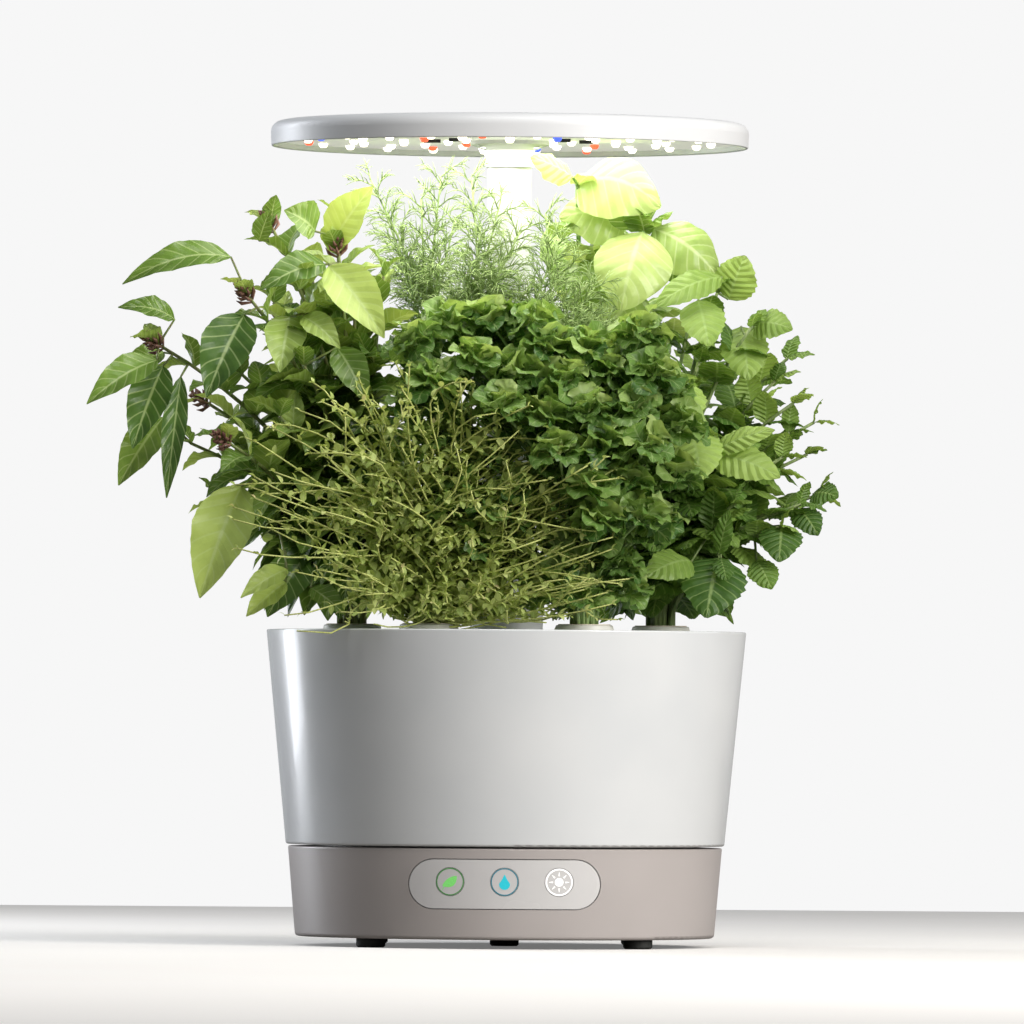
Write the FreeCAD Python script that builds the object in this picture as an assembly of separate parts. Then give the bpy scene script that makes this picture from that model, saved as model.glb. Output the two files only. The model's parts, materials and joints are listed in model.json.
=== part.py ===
import FreeCAD, Part
import math
import os
from itertools import combinations

# Countertop hydroponic garden: a round base with a control panel, a water bowl with a pump and
# six planted pods, and a light hood on a telescoping mast.
# Millimetres. Origin: the mast's axis where it meets the plane of the feet. +Z up, front at -Y.

Vector = FreeCAD.Vector

# Rubber feet
FOOT_RADIUS = 8.0
FOOT_HEIGHT = 5.0
FOOT_SEAT_DEPTH = 1.0
FOOT_CHAMFER = 1.0
FOOT_CIRCLE_RADIUS = 103.0

# Base drum
BASE_BOTTOM_RADIUS = 115.4
BASE_TOP_RADIUS = 119.6
BASE_HEIGHT = 49.6
BASE_WALL = 2.5
BASE_DECK_THICKNESS = 3.0
BASE_BOTTOM_ROUND = 2.2
BASE_TOP_ROUND = 0.8
SEAM_GAP = 1.0
SEAT_RING_RADIUS = 95.0
SEAT_RING_WIDTH = 8.0
BASE_PLATE_THICKNESS = 3.0
PLATE_CLEARANCE = 0.3
BASE_POST_RADIUS = 4.5
BASE_POST_CIRCLE_RADIUS = 97.0
BASE_POST_ANGLES = (20.0, 160.0, 200.0, 340.0)

# Screws
SCREW_RADIUS = 1.45
SCREW_LENGTH = 14.0
SCREW_HEAD_RADIUS = 3.2
SCREW_SINK = 0.2
SCREW_EDGE_ROUND = 0.5
SCREW_HEAD_HEIGHT = 1.7
SCREW_PILOT_CLEARANCE = 0.1
SCREW_HEAD_CLEARANCE = 0.3
SMALL_SCREW_RADIUS = 1.1
SMALL_SCREW_LENGTH = 7.0
SMALL_SCREW_HEAD_RADIUS = 2.2
SMALL_SCREW_HEAD_HEIGHT = 1.4

# Control panel and buttons
PANEL_WIDTH = 103.6
PANEL_HEIGHT = 26.6
PANEL_CENTRE_HEIGHT = 35.3
PANEL_OUTLINE_GAP = 0.5
PANEL_REAR_GAP = 0.2
PANEL_FLANGE_THICKNESS = 1.5
PANEL_FLANGE_MARGIN = 2.4
PANEL_BOSS_RADIUS = 3.0
PANEL_BOSS_SPACING = 88.0
ICON_HEIGHT = 36.6
ICON_SPACING = 29.6
ICON_RADIUS = 7.6
BUTTON_HOLE_CLEARANCE = 0.25
BUTTON_FLANGE_RADIUS = 9.0
BUTTON_FLANGE_THICKNESS = 1.2
BUTTON_STEM_RADIUS = 2.0
BUTTON_TRAVEL = 0.6
BUTTON_REST_GAP = 0.3

# Control board behind the panel
BOARD_FRONT_DEPTH = 92.0
BOARD_THICKNESS = 1.6
BOARD_WIDTH = 98.0
BOARD_HEIGHT = 22.0
SWITCH_SIZE = 6.0
SWITCH_DEPTH = 3.5
SWITCH_PLUNGER_RADIUS = 1.6
SWITCH_PLUNGER_LENGTH = 1.0
INDICATOR_RADIUS = 1.5
INDICATOR_DEPTH = 4.0
INDICATOR_DROP = 6.0

# Power jack at the back
JACK_HEIGHT = 22.0
JACK_NOSE_RADIUS = 5.5
JACK_NOSE_CLEARANCE = 0.3
JACK_BORE_RADIUS = 3.2
JACK_BORE_DEPTH = 10.0
JACK_PIN_RADIUS = 1.0
JACK_BODY_WIDTH = 12.0
JACK_BODY_HEIGHT = 12.0
JACK_BODY_DEPTH = 12.0
JACK_RIB_THICKNESS = 1.6
JACK_RIB_CLEARANCE = 0.25

# Connector between base and bowl
BASE_CONNECTOR_RADIUS = 12.0
CONNECTOR_CLEARANCE = 0.2
CONNECTOR_FLANGE_MARGIN = 3.0
CONNECTOR_FLANGE_THICKNESS = 2.0
BASE_CONNECTOR_DEPTH = 9.0
CONTACT_RADIUS = 1.2
CONTACT_SINK = 0.1
CONTACT_CIRCLE_RADIUS = 6.5
CONTACT_COUNT = 4
CONTACT_PROUD = 0.7
WIRE_RADIUS = 1.3
WIRE_END_GAP = 0.3

# Water level sensing
FLOAT_ANGLE = 150.0
FLOAT_CIRCLE_RADIUS = 104.0
FLOAT_RADIUS = 9.0
FLOAT_LENGTH = 14.0
FLOAT_BORE_CLEARANCE = 0.3
FLOAT_TRAVEL = 35.0
FLOAT_REST_GAP = 0.3
FLOAT_MAGNET_RADIUS = 5.0
GUIDE_RADIUS = 2.2
GUIDE_FLANGE_RADIUS = 6.0
GUIDE_FLANGE_THICKNESS = 3.0
GUIDE_CAP_RADIUS = 4.5
GUIDE_CAP_THICKNESS = 2.0
SENSOR_WIDTH = 14.0
SENSOR_DEPTH = 8.0
SENSOR_THICKNESS = 4.0

# Water bowl
BOWL_BOTTOM_RADIUS = 120.8
BOWL_TOP_RADIUS = 132.2
BOWL_HEIGHT = 118.0
BOWL_WALL = 2.5
COLUMN_FOOT_ROUND = 1.5
BOWL_FLOOR = 3.0
BOWL_BOTTOM_ROUND = 1.5
BOWL_RIM_ROUND = 0.8
LEDGE_WIDTH = 4.0
LEDGE_THICKNESS = 3.0
COLUMN_WALL = 2.5
COLUMN_MAST_CLEARANCE = 0.5

# Grow deck
DECK_DROP = 7.6
DECK_THICKNESS = 3.0
DECK_CLEARANCE = 0.5
POD_CIRCLE_RADIUS = 85.0
POD_COUNT = 6
POD_HOLE_CLEARANCE = 0.4
FILL_HOLE_RADIUS = 14.0
FILL_HOLE_CENTRE = 100.0
FILL_NECK_WALL = 2.0
FILL_NECK_HEIGHT = 3.0
LID_RADIUS = 17.0
LID_THICKNESS = 2.0
LID_REST_GAP = 0.2
LID_TAB_LENGTH = 5.0
LID_TAB_WIDTH = 10.0
LID_PIN_RADIUS = 1.0
LID_PIN_CLEARANCE = 0.06
LID_PIN_LENGTH = 18.0
LID_KNUCKLE_RADIUS = 2.4
LID_KNUCKLE_LENGTH = 9.4
LID_KNUCKLE_GAP = 0.3
LID_HINGE_SETBACK = 3.0

# Pods
BASKET_TOP_RADIUS = 16.5
BASKET_BOTTOM_RADIUS = 12.0
BASKET_DEPTH = 42.0
BASKET_WALL = 1.3
BASKET_FLANGE_RADIUS = 20.0
BASKET_FLANGE_THICKNESS = 1.5
BASKET_COLLAR_RADIUS = 18.0
BASKET_COLLAR_TOP_RADIUS = 15.5
BASKET_COLLAR_HEIGHT = 9.0
BASKET_MOUTH_RADIUS = 13.0
BASKET_SLOT_WIDTH = 4.0
BASKET_SLOT_HEIGHT = 20.0
BASKET_SLOT_COUNT = 4
BASKET_DRAIN_RADIUS = 5.0
SPONGE_CLEARANCE = 0.3
SPONGE_RISE = 6.0
LABEL_THICKNESS = 0.5
LABEL_HOLE_RADIUS = 12.0
LABEL_SETBACK = 1.2
BASKET_EDGE_ROUND = 0.8
SPONGE_DEPTH = 8.0
SPONGE_EDGE_ROUND = 1.5

# Pump and water path
PUMP_CENTRE = 78.0
PUMP_RADIUS = 18.0
PUMP_HEIGHT = 25.4
PUMP_EDGE_ROUND = 2.5
CHAMBER_RADIUS = 11.0
CHAMBER_HEIGHT = 12.0
PUMP_COVER_THICKNESS = 2.0
PUMP_INLET_RADIUS = 4.0
IMPELLER_PIN_ANCHOR = 2.8
GUIDE_CAP_ROUND = 0.6
FLOAT_EDGE_ROUND = 1.2
FILTER_THICKNESS = 3.0
FILTER_RADIUS = 17.0
IMPELLER_RADIUS = 9.5
IMPELLER_HUB_RADIUS = 3.2
IMPELLER_HEIGHT = 8.0
IMPELLER_BLADE_THICKNESS = 1.2
IMPELLER_BLADE_COUNT = 6
IMPELLER_PIN_RADIUS = 1.0
IMPELLER_PIN_CLEARANCE = 0.06
IMPELLER_END_GAP = 0.5
PIPE_RADIUS = 3.0
PIPE_BORE_RADIUS = 2.0
PIPE_BEND_RADIUS = 7.0
PIPE_HEIGHT_IN_CHAMBER = 6.0
MANIFOLD_RADIUS = 48.0
MANIFOLD_WIDTH = 10.0
MANIFOLD_HEIGHT = 7.0
MANIFOLD_WALL = 1.5
SPOUT_RADIUS = 3.0
SPOUT_BORE_RADIUS = 1.5
SPOUT_LENGTH = 13.0
LEAD_RADIUS = 1.5
LEAD_HOLE_CLEARANCE = 0.1

# Mast
MAST_RADIUS = 15.0
MAST_WALL = 1.5
MAST_TOP_HEIGHT = 320.0
MAST_FOOT_GAP = 5.4
SOCKET_RADIUS = 25.0
SOCKET_HEIGHT = 8.0
SOCKET_CLEARANCE = 0.3
COLLAR_RADIUS = 20.0
COLLAR_HEIGHT = 12.0
COLLAR_FIT = 0.1
BUSH_LENGTH = 24.0
BUSH_FIT = 0.1
BUSH_LIP_HEIGHT = 2.0
BUSH_LIP_ROUND = 0.6
PLUG_LENGTH = 14.0
PLUG_FIT = 0.15
UPPER_MAST_RADIUS = 12.0
UPPER_MAST_WALL = 1.2
UPPER_MAST_OVERLAP = 45.0
STOP_SWAGE_HEIGHT = 12.0
STOP_SWAGE_FIT = 0.15
STOP_SWAGE_GAP = 0.3
LAMP_LEAD_RADIUS = 5.0

# Light hood
HOOD_HEIGHT_ABOVE_FEET = 440.2
HOOD_TOP_RADIUS = 132.1
HOOD_BOTTOM_RADIUS = 131.5
HOOD_DEPTH = 14.4
HOOD_CROWN = 0.8
HOOD_WALL = 2.0
HOOD_TOP_ROUND = 6.0
HOOD_LIP_ROUND = 0.7
HOOD_LEDGE_WIDTH = 3.5
LED_BOARD_INSET = 3.3
LED_BOARD_THICKNESS = 1.6
LED_BOARD_CLEARANCE = 0.5
LED_BOARD_HOLE_RADIUS = 10.0
LED_BASE_RADIUS = 2.5
LED_BASE_HEIGHT = 0.9
LED_DOME_RADIUS = 2.2
LED_DOME_HEIGHT = 1.4
LED_DOME_ROUND_SHARE = 0.9
LED_RINGS = ((34.0, 8), (60.0, 14), (86.0, 18), (112.0, 24))
LED_PLACE_STEP = 5
LED_RING_STEP = 3
RED_LED_EVERY = 7
BLUE_LED_EVERY = 16
FIRST_BLUE_LED = 10
DRIVER_CHIP_SIZE = (9.0, 5.0, 1.8)
DRIVER_CHIP_RADIUS = 47.0
DRIVER_CHIP_ANGLES = (205.0, 232.0, 308.0, 335.0, 90.0)
HUB_PLATE_RADIUS = 22.0
HUB_PLATE_THICKNESS = 2.0
HUB_DISC_RADIUS = 13.9
HUB_DISC_THICKNESS = 4.0
HUB_DISC_DROP = 5.0
HUB_COLLAR_RADIUS = 13.3
HUB_COLLAR_LENGTH = 5.5
HUB_FIT = 0.1
HUB_BOSS_WIDTH = 9.0
HUB_SCREW_CIRCLE_RADIUS = 18.0
HUB_SCREW_COUNT = 3

# Plants
LEAF_THICKNESS = 1.0
LEAF_CLEARANCE = 0.4
LAMP_LEAF_GAP = 1.6
LABEL_LEAF_GAP = 1.5
MAST_LEAF_GAP = 1.5
MAST_ROOM_SIDES = 12
LID_SWING_MARGIN = 3.0
CELL_SIZE = 24.0
GOLDEN_ANGLE = math.radians(137.5)
ROOT_SPREAD = 7.0
ROOTS_PER_TURN = 9
LEAST_STEM_RISE = 30.0
STEM_END = 0.999
STEM_SHIFTS = (0, -4, 4, -8, 8, -12, 12, -16, 16)
PETIOLE_RADIUS = 0.7
PETIOLE_STATIONS = 24
DILL_RIB_RADIUS = 0.9
DILL_NEEDLE_RADIUS = 0.55
DILL_NEEDLE_LENGTH = 16.0
DILL_FROND_NEEDLES = 18
PARSLEY_FRONT_HEIGHT = 250.0
PARSLEY_TOP_HEIGHT = 345.0
PARSLEY_FRONT = 105.0
PARSLEY_TOP_SETBACK = 40.0
PARSLEY_BALL_LEAFLETS = 10
PARSLEY_LEAFLET_LENGTH = 14.0
PARSLEY_LAYERS = (0.0, 26.0)
THYME_FRONT = 108.0
THYME_DEPTH_SPREAD = 20.0
THYME_LAYERS = ((1.0, 0.0), (0.7, 12.0))
# Stems: radius at the root and at the tip, upright share of the rise, and steps
STEM_SIZES = {
    "thai_basil": ((1.8, 0.9), 0.62, 6),
    "basil": ((2.2, 1.2), 0.62, 6),
    "mint": ((1.7, 0.9), 0.62, 6),
    "parsley": ((1.3, 0.8), 0.6, 4),
    "thyme": ((0.8, 0.5), 0.7, 5),
}
DILL_STEM_RADII = (1.9, 1.2)
# Pairs of leaves on a stem: number, share of the stem below them, length, width, form and turn
LEAF_PAIRS = {
    "thai_basil": (7, 0.3, 46, 27, "ovate", 37),
    "basil": (6, 0.3, 50, 38, "broad", 53),
    "mint": (7, 0.25, 38, 28, "mint", 41),
    "thyme": (6, 0.25, 9, 5, "tiny", 29),
}

# Heights that follow from the sizes above
base_top = FOOT_HEIGHT + BASE_HEIGHT
plate_top = FOOT_HEIGHT + BASE_PLATE_THICKNESS
base_deck_bottom = base_top - BASE_DECK_THICKNESS
bowl_bottom = base_top + SEAM_GAP
bowl_floor = bowl_bottom + BOWL_FLOOR
rim_height = bowl_bottom + BOWL_HEIGHT
deck_top = rim_height - DECK_DROP
deck_bottom = deck_top - DECK_THICKNESS
column_radius = MAST_RADIUS + COLUMN_MAST_CLEARANCE
column_outer_radius = column_radius + COLUMN_WALL
basket_floor = deck_top - BASKET_DEPTH
flange_top = deck_top + BASKET_FLANGE_THICKNESS
basket_top = flange_top + BASKET_COLLAR_HEIGHT
label_top = basket_top + LABEL_THICKNESS
sponge_top = deck_top + SPONGE_RISE
socket_top = deck_top + SOCKET_HEIGHT
lid_bottom = deck_top + FILL_NECK_HEIGHT + LID_REST_GAP
hood_bottom = HOOD_HEIGHT_ABOVE_FEET
hood_top = hood_bottom + HOOD_DEPTH
led_board_bottom = hood_bottom + LED_BOARD_INSET
led_board_top = led_board_bottom + LED_BOARD_THICKNESS
hub_plate_bottom = led_board_bottom - HUB_PLATE_THICKNESS
hub_disc_top = led_board_bottom - HUB_DISC_DROP
hub_disc_bottom = hub_disc_top - HUB_DISC_THICKNESS
hub_bottom = hub_disc_bottom - HUB_COLLAR_LENGTH
connector_top = bowl_floor + CONNECTOR_FLANGE_THICKNESS + MAST_FOOT_GAP
mast_bottom = connector_top + WIRE_END_GAP
mast_bore = MAST_RADIUS - MAST_WALL
upper_mast_bottom = MAST_TOP_HEIGHT - UPPER_MAST_OVERLAP
upper_mast_top = led_board_bottom - WIRE_END_GAP
pump_bottom = bowl_floor + FILTER_THICKNESS + PUMP_COVER_THICKNESS
hinge_line = FILL_HOLE_CENTRE - LID_RADIUS - LID_HINGE_SETBACK
hinge_height = lid_bottom + LID_THICKNESS / 2
FULL_TURN = 360.0
DIAGONAL = 45.0
JOIN_OVERLAP = 0.1


def cone_radius(height, low, low_radius, high, high_radius):
    """Radius of a straight cone at a height."""
    return low_radius + (high_radius - low_radius) * (height - low) / (high - low)


def base_radius(height):
    """Outer radius of the base drum."""
    return cone_radius(height, FOOT_HEIGHT, BASE_BOTTOM_RADIUS, base_top, BASE_TOP_RADIUS)


def bowl_radius(height):
    """Outer radius of the bowl."""
    return cone_radius(height, bowl_bottom, BOWL_BOTTOM_RADIUS, rim_height, BOWL_TOP_RADIUS)


def round_place(radius, degrees):
    """Point on a circle around the mast."""
    angle = math.radians(degrees)
    return radius * math.cos(angle), radius * math.sin(angle)


def corner_arc(before, corner, after, radius):
    """Tangent points and middle of the arc that rounds one corner."""
    to_before = (before - corner).normalize()
    to_after = (after - corner).normalize()
    half_angle = to_before.getAngle(to_after) / 2
    reach = radius / math.tan(half_angle)
    inward = (to_before + to_after).normalize()
    centre = corner + inward * (radius / math.sin(half_angle))
    return corner + to_before * reach, centre - inward * radius, corner + to_after * reach


def outline(corners):
    """Face in the XZ plane from (radius, height) or (radius, height, rounding) corners."""
    points = [Vector(corner[0], 0, corner[1]) for corner in corners]
    roundings = [corner[2] if len(corner) > 2 else 0 for corner in corners]
    entries, exits, middles = [], [], []
    for index, point in enumerate(points):
        if roundings[index]:
            before = Vector(points[index - 1])
            after = Vector(points[(index + 1) % len(points)])
            entry, middle, leave = corner_arc(before, Vector(point), after, roundings[index])
        else:
            entry, middle, leave = point, None, point
        entries.append(entry)
        middles.append(middle)
        exits.append(leave)
    edges = []
    for index in range(len(points)):
        if middles[index]:
            edges.append(Part.Arc(entries[index], middles[index], exits[index]).toShape())
        following = (index + 1) % len(points)
        if (exits[index] - entries[following]).Length > 1e-6:
            edges.append(Part.makeLine(exits[index], entries[following]))
    return Part.Face(Part.Wire(edges))


def turned(corners, centre=(0.0, 0.0)):
    """Solid turned about a vertical axis."""
    solid = outline(corners).revolve(Vector(0, 0, 0), Vector(0, 0, 1), FULL_TURN)
    solid.translate(Vector(centre[0], centre[1], 0))
    return solid


def ring(outer, inner, low, high, centre=(0.0, 0.0)):
    """Plain ring with a square section."""
    return turned([(inner, low), (outer, low), (outer, high), (inner, high)], centre)


def rod(radius, low, high, centre=(0.0, 0.0)):
    """Upright cylinder."""
    return Part.makeCylinder(radius, high - low, Vector(centre[0], centre[1], low))


def rod_y(radius, near, far, x, z):
    """Cylinder along Y."""
    return Part.makeCylinder(radius, far - near, Vector(x, near, z), Vector(0, 1, 0))


def rod_x(radius, near, far, y, z):
    """Cylinder along X."""
    return Part.makeCylinder(radius, far - near, Vector(near, y, z), Vector(1, 0, 0))


def block(x_range, y_range, z_range):
    """Box between three pairs of limits."""
    size = [limits[1] - limits[0] for limits in (x_range, y_range, z_range)]
    return Part.makeBox(size[0], size[1], size[2], Vector(x_range[0], y_range[0], z_range[0]))


def group(solids):
    """Separate solids of one kind, kept side by side."""
    return Part.makeCompound(solids)


def bent_tube(points, radius, bends):
    """Round bar along straight runs joined by tangent arcs."""
    path = [Vector(*point) for point in points]
    edges = []
    start = path[0]
    for index in range(1, len(path) - 1):
        first, middle, last = corner_arc(
            Vector(path[index - 1]), Vector(path[index]), Vector(path[index + 1]), bends[index - 1]
        )
        edges.append(Part.makeLine(start, first))
        edges.append(Part.Arc(first, middle, last).toShape())
        start = last
    edges.append(Part.makeLine(start, path[-1]))
    circle = Part.makeCircle(radius, path[0], path[1] - path[0])
    return Part.Wire(edges).makePipeShell([Part.Wire(circle)], True, False)


def wire_lead(points, radius):
    """Insulated lead; each bend is as large as its two runs allow."""
    path = [Vector(*point) for point in points]
    bends = []
    for before, corner, after in zip(path, path[1:], path[2:]):
        turn = (corner - before).getAngle(after - corner)
        shorter = min((corner - before).Length, (after - corner).Length)
        bends.append(0.45 * shorter / math.tan(turn / 2))
    print("lead bends", [round(bend, 1) for bend in bends])
    return bent_tube(points, radius, bends)


# Base drum


def post_places():
    """Where the base's screw posts stand."""
    return [round_place(BASE_POST_CIRCLE_RADIUS, angle) for angle in BASE_POST_ANGLES]


def pill(width, height):
    """Pill-shaped bar that runs through the base's front wall, along Y."""
    radius = height / 2
    half = width / 2 - radius
    low = PANEL_CENTRE_HEIGHT - radius
    high = PANEL_CENTRE_HEIGHT + radius
    near = -base_radius(base_top) - 1
    corners = [Vector(-half, near, low), Vector(half, near, low)]
    corners += [Vector(half, near, high), Vector(-half, near, high)]
    right = Vector(half + radius, near, PANEL_CENTRE_HEIGHT)
    left = Vector(-half - radius, near, PANEL_CENTRE_HEIGHT)
    edges = [
        Part.makeLine(corners[0], corners[1]),
        Part.Arc(corners[1], right, corners[2]).toShape(),
        Part.makeLine(corners[2], corners[3]),
        Part.Arc(corners[3], left, corners[0]).toShape(),
    ]
    length = base_radius(base_top) - BOARD_FRONT_DEPTH
    return Part.Face(Part.Wire(edges)).extrude(Vector(0, length, 0))


def wall_band(outside, inside):
    """Shell that follows the base's wall, between two depths below its outer surface."""
    low, high = FOOT_HEIGHT, base_top
    return turned([
        (base_radius(low) - inside, low),
        (base_radius(low) - outside, low),
        (base_radius(high) - outside, high),
        (base_radius(high) - inside, high),
    ])


def drum_core():
    """The base's whole outer form, used to cut faces flush with it."""
    return turned([
        (0, FOOT_HEIGHT),
        (base_radius(FOOT_HEIGHT), FOOT_HEIGHT),
        (base_radius(base_top), base_top),
        (0, base_top),
    ])


def jack_rear():
    """Depth, from the axis, of the power jack's body."""
    return base_radius(JACK_HEIGHT - JACK_BODY_HEIGHT / 2) - BASE_WALL - 1.0


def base_shell():
    hole = BASE_CONNECTOR_RADIUS + CONNECTOR_CLEARANCE
    shell = turned([
        (base_radius(FOOT_HEIGHT), FOOT_HEIGHT, BASE_BOTTOM_ROUND),
        (base_radius(base_top), base_top, BASE_TOP_ROUND),
        (SEAT_RING_RADIUS + SEAT_RING_WIDTH, base_top),
        (SEAT_RING_RADIUS + SEAT_RING_WIDTH, bowl_bottom),
        (SEAT_RING_RADIUS, bowl_bottom),
        (SEAT_RING_RADIUS, base_top),
        (hole, base_top),
        (hole, base_deck_bottom),
        (base_radius(base_deck_bottom) - BASE_WALL, base_deck_bottom),
        (base_radius(FOOT_HEIGHT) - BASE_WALL, FOOT_HEIGHT),
    ])
    posts = [rod(BASE_POST_RADIUS, plate_top, base_deck_bottom, place) for place in post_places()]
    side = JACK_BODY_WIDTH / 2 + JACK_RIB_CLEARANCE
    inner = jack_rear() - JACK_BODY_DEPTH
    ribs = []
    for x_range in ((side, side + JACK_RIB_THICKNESS), (-side - JACK_RIB_THICKNESS, -side)):
        rib = block(x_range, (inner, base_radius(base_top)), (plate_top, base_deck_bottom))
        ribs.append(rib.common(drum_core()))
    shell = shell.fuse(posts + ribs)
    pilot = SCREW_RADIUS + SCREW_PILOT_CLEARANCE
    depth = FOOT_HEIGHT + SCREW_HEAD_HEIGHT + SCREW_LENGTH + 1
    cuts = [rod(pilot, plate_top - 1, depth, place) for place in post_places()]
    cuts.append(pill(PANEL_WIDTH + 2 * PANEL_OUTLINE_GAP, PANEL_HEIGHT + 2 * PANEL_OUTLINE_GAP))
    nose = JACK_NOSE_RADIUS + JACK_NOSE_CLEARANCE
    cuts.append(rod_y(nose, inner, base_radius(base_top) + 1, 0, JACK_HEIGHT))
    return shell.cut(cuts).removeSplitter()


def foot_places():
    """Four feet on the diagonals, and one in the middle under the water's weight."""
    outer = [round_place(FOOT_CIRCLE_RADIUS, DIAGONAL + 90 * index) for index in range(4)]
    return outer + [(0.0, 0.0)]


def base_plate():
    radius = base_radius(FOOT_HEIGHT) - BASE_WALL - PLATE_CLEARANCE
    plate = rod(radius, FOOT_HEIGHT, plate_top)
    cuts = []
    for place in foot_places():
        seat = FOOT_RADIUS + PLATE_CLEARANCE
        cuts.append(rod(seat, FOOT_HEIGHT - 1, FOOT_HEIGHT + FOOT_SEAT_DEPTH, place))
    for place in post_places():
        head = SCREW_HEAD_RADIUS + SCREW_HEAD_CLEARANCE
        shank = SCREW_RADIUS + SCREW_HEAD_CLEARANCE
        cuts.append(rod(head, FOOT_HEIGHT - 1, FOOT_HEIGHT + SCREW_HEAD_HEIGHT, place))
        cuts.append(rod(shank, FOOT_HEIGHT, plate_top + 1, place))
    return plate.cut(cuts)


def base_screws():
    solids = []
    for place in post_places():
        under_head = FOOT_HEIGHT + SCREW_HEAD_HEIGHT
        solids.append(turned([
            (0, FOOT_HEIGHT + SCREW_SINK),
            (SCREW_HEAD_RADIUS, FOOT_HEIGHT + SCREW_SINK, SCREW_EDGE_ROUND),
            (SCREW_HEAD_RADIUS, under_head),
            (SCREW_RADIUS, under_head),
            (SCREW_RADIUS, under_head + SCREW_LENGTH),
            (0, under_head + SCREW_LENGTH),
        ], place))
    return group(solids)


def rubber_feet():
    top = FOOT_HEIGHT + FOOT_SEAT_DEPTH
    solids = []
    for place in foot_places():
        solids.append(turned([
            (0, 0),
            (FOOT_RADIUS - FOOT_CHAMFER, 0),
            (FOOT_RADIUS, FOOT_CHAMFER),
            (FOOT_RADIUS, top),
            (0, top),
        ], place))
    return group(solids)


# Control panel


def panel_back():
    """Depth of the panel's rear face below the base's outer surface."""
    return BASE_WALL + PANEL_REAR_GAP + PANEL_FLANGE_THICKNESS


def panel_boss_places():
    return [-PANEL_BOSS_SPACING / 2, PANEL_BOSS_SPACING / 2]


def rear_depth(reach):
    """Y of the panel's rear face at a distance from the centre line, at the icons' lower edge."""
    radius = base_radius(ICON_HEIGHT - BUTTON_FLANGE_RADIUS) - panel_back()
    return -math.sqrt(radius ** 2 - reach ** 2)


def control_panel():
    panel = wall_band(0, panel_back()).common(pill(PANEL_WIDTH, PANEL_HEIGHT))
    margin = 2 * PANEL_FLANGE_MARGIN
    flange = wall_band(BASE_WALL + PANEL_REAR_GAP, panel_back())
    panel = panel.fuse(flange.common(pill(PANEL_WIDTH + margin, PANEL_HEIGHT + margin)))
    bosses = []
    for x in panel_boss_places():
        near = rear_depth(abs(x)) - 1
        bosses.append(rod_y(PANEL_BOSS_RADIUS, near, -BOARD_FRONT_DEPTH, x, PANEL_CENTRE_HEIGHT))
    panel = panel.fuse(bosses)
    cuts = []
    front = -base_radius(base_top) - 1
    hole = ICON_RADIUS + BUTTON_HOLE_CLEARANCE
    for x in (-ICON_SPACING, 0, ICON_SPACING):
        cuts.append(rod_y(hole, front, -BOARD_FRONT_DEPTH, x, ICON_HEIGHT))
    pilot = SMALL_SCREW_RADIUS + SCREW_PILOT_CLEARANCE
    for x in panel_boss_places():
        depth = -BOARD_FRONT_DEPTH - SMALL_SCREW_LENGTH
        cuts.append(rod_y(pilot, depth, -BOARD_FRONT_DEPTH + 1, x, PANEL_CENTRE_HEIGHT))
    return panel.cut(cuts).removeSplitter()


def button(x):
    """Round cap flush with the panel, with a flange behind it and a stem to its switch."""
    front = -base_radius(base_top) - 1
    reach = ICON_SPACING + BUTTON_FLANGE_RADIUS
    flange = rear_depth(reach) + BUTTON_REST_GAP
    flange_end = flange + BUTTON_FLANGE_THICKNESS
    switch_front = -BOARD_FRONT_DEPTH - SWITCH_DEPTH - SWITCH_PLUNGER_LENGTH
    stem_end = switch_front - BUTTON_TRAVEL - JOIN_OVERLAP
    cap = rod_y(ICON_RADIUS, front, flange + JOIN_OVERLAP, x, ICON_HEIGHT).common(drum_core())
    rim = rod_y(BUTTON_FLANGE_RADIUS, flange, flange_end, x, ICON_HEIGHT)
    stem = rod_y(BUTTON_STEM_RADIUS, flange_end - JOIN_OVERLAP, stem_end, x, ICON_HEIGHT)
    return cap.fuse([rim, stem]).removeSplitter()


def water_indicator():
    """Fixed lens in the middle of the panel, with a light pipe behind it."""
    front = -base_radius(base_top) - 1
    flange = rear_depth(BUTTON_FLANGE_RADIUS) + BUTTON_REST_GAP
    flange_end = flange + BUTTON_FLANGE_THICKNESS
    pipe_end = -BOARD_FRONT_DEPTH - INDICATOR_DEPTH - WIRE_END_GAP
    lens = rod_y(ICON_RADIUS, front, flange + JOIN_OVERLAP, 0, ICON_HEIGHT).common(drum_core())
    rim = rod_y(BUTTON_FLANGE_RADIUS, flange, flange_end, 0, ICON_HEIGHT)
    pipe = rod_y(BUTTON_STEM_RADIUS, flange_end - JOIN_OVERLAP, pipe_end, 0, ICON_HEIGHT)
    return lens.fuse([rim, pipe]).removeSplitter()


def control_board():
    half = BOARD_WIDTH / 2
    low = PANEL_CENTRE_HEIGHT - BOARD_HEIGHT / 2
    rear = -BOARD_FRONT_DEPTH + BOARD_THICKNESS
    board = block((-half, half), (-BOARD_FRONT_DEPTH, rear), (low, low + BOARD_HEIGHT))
    hole = SMALL_SCREW_RADIUS + SCREW_HEAD_CLEARANCE
    holes = []
    for x in panel_boss_places():
        holes.append(rod_y(hole, -BOARD_FRONT_DEPTH - 1, rear + 1, x, PANEL_CENTRE_HEIGHT))
    return board.cut(holes)


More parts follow.
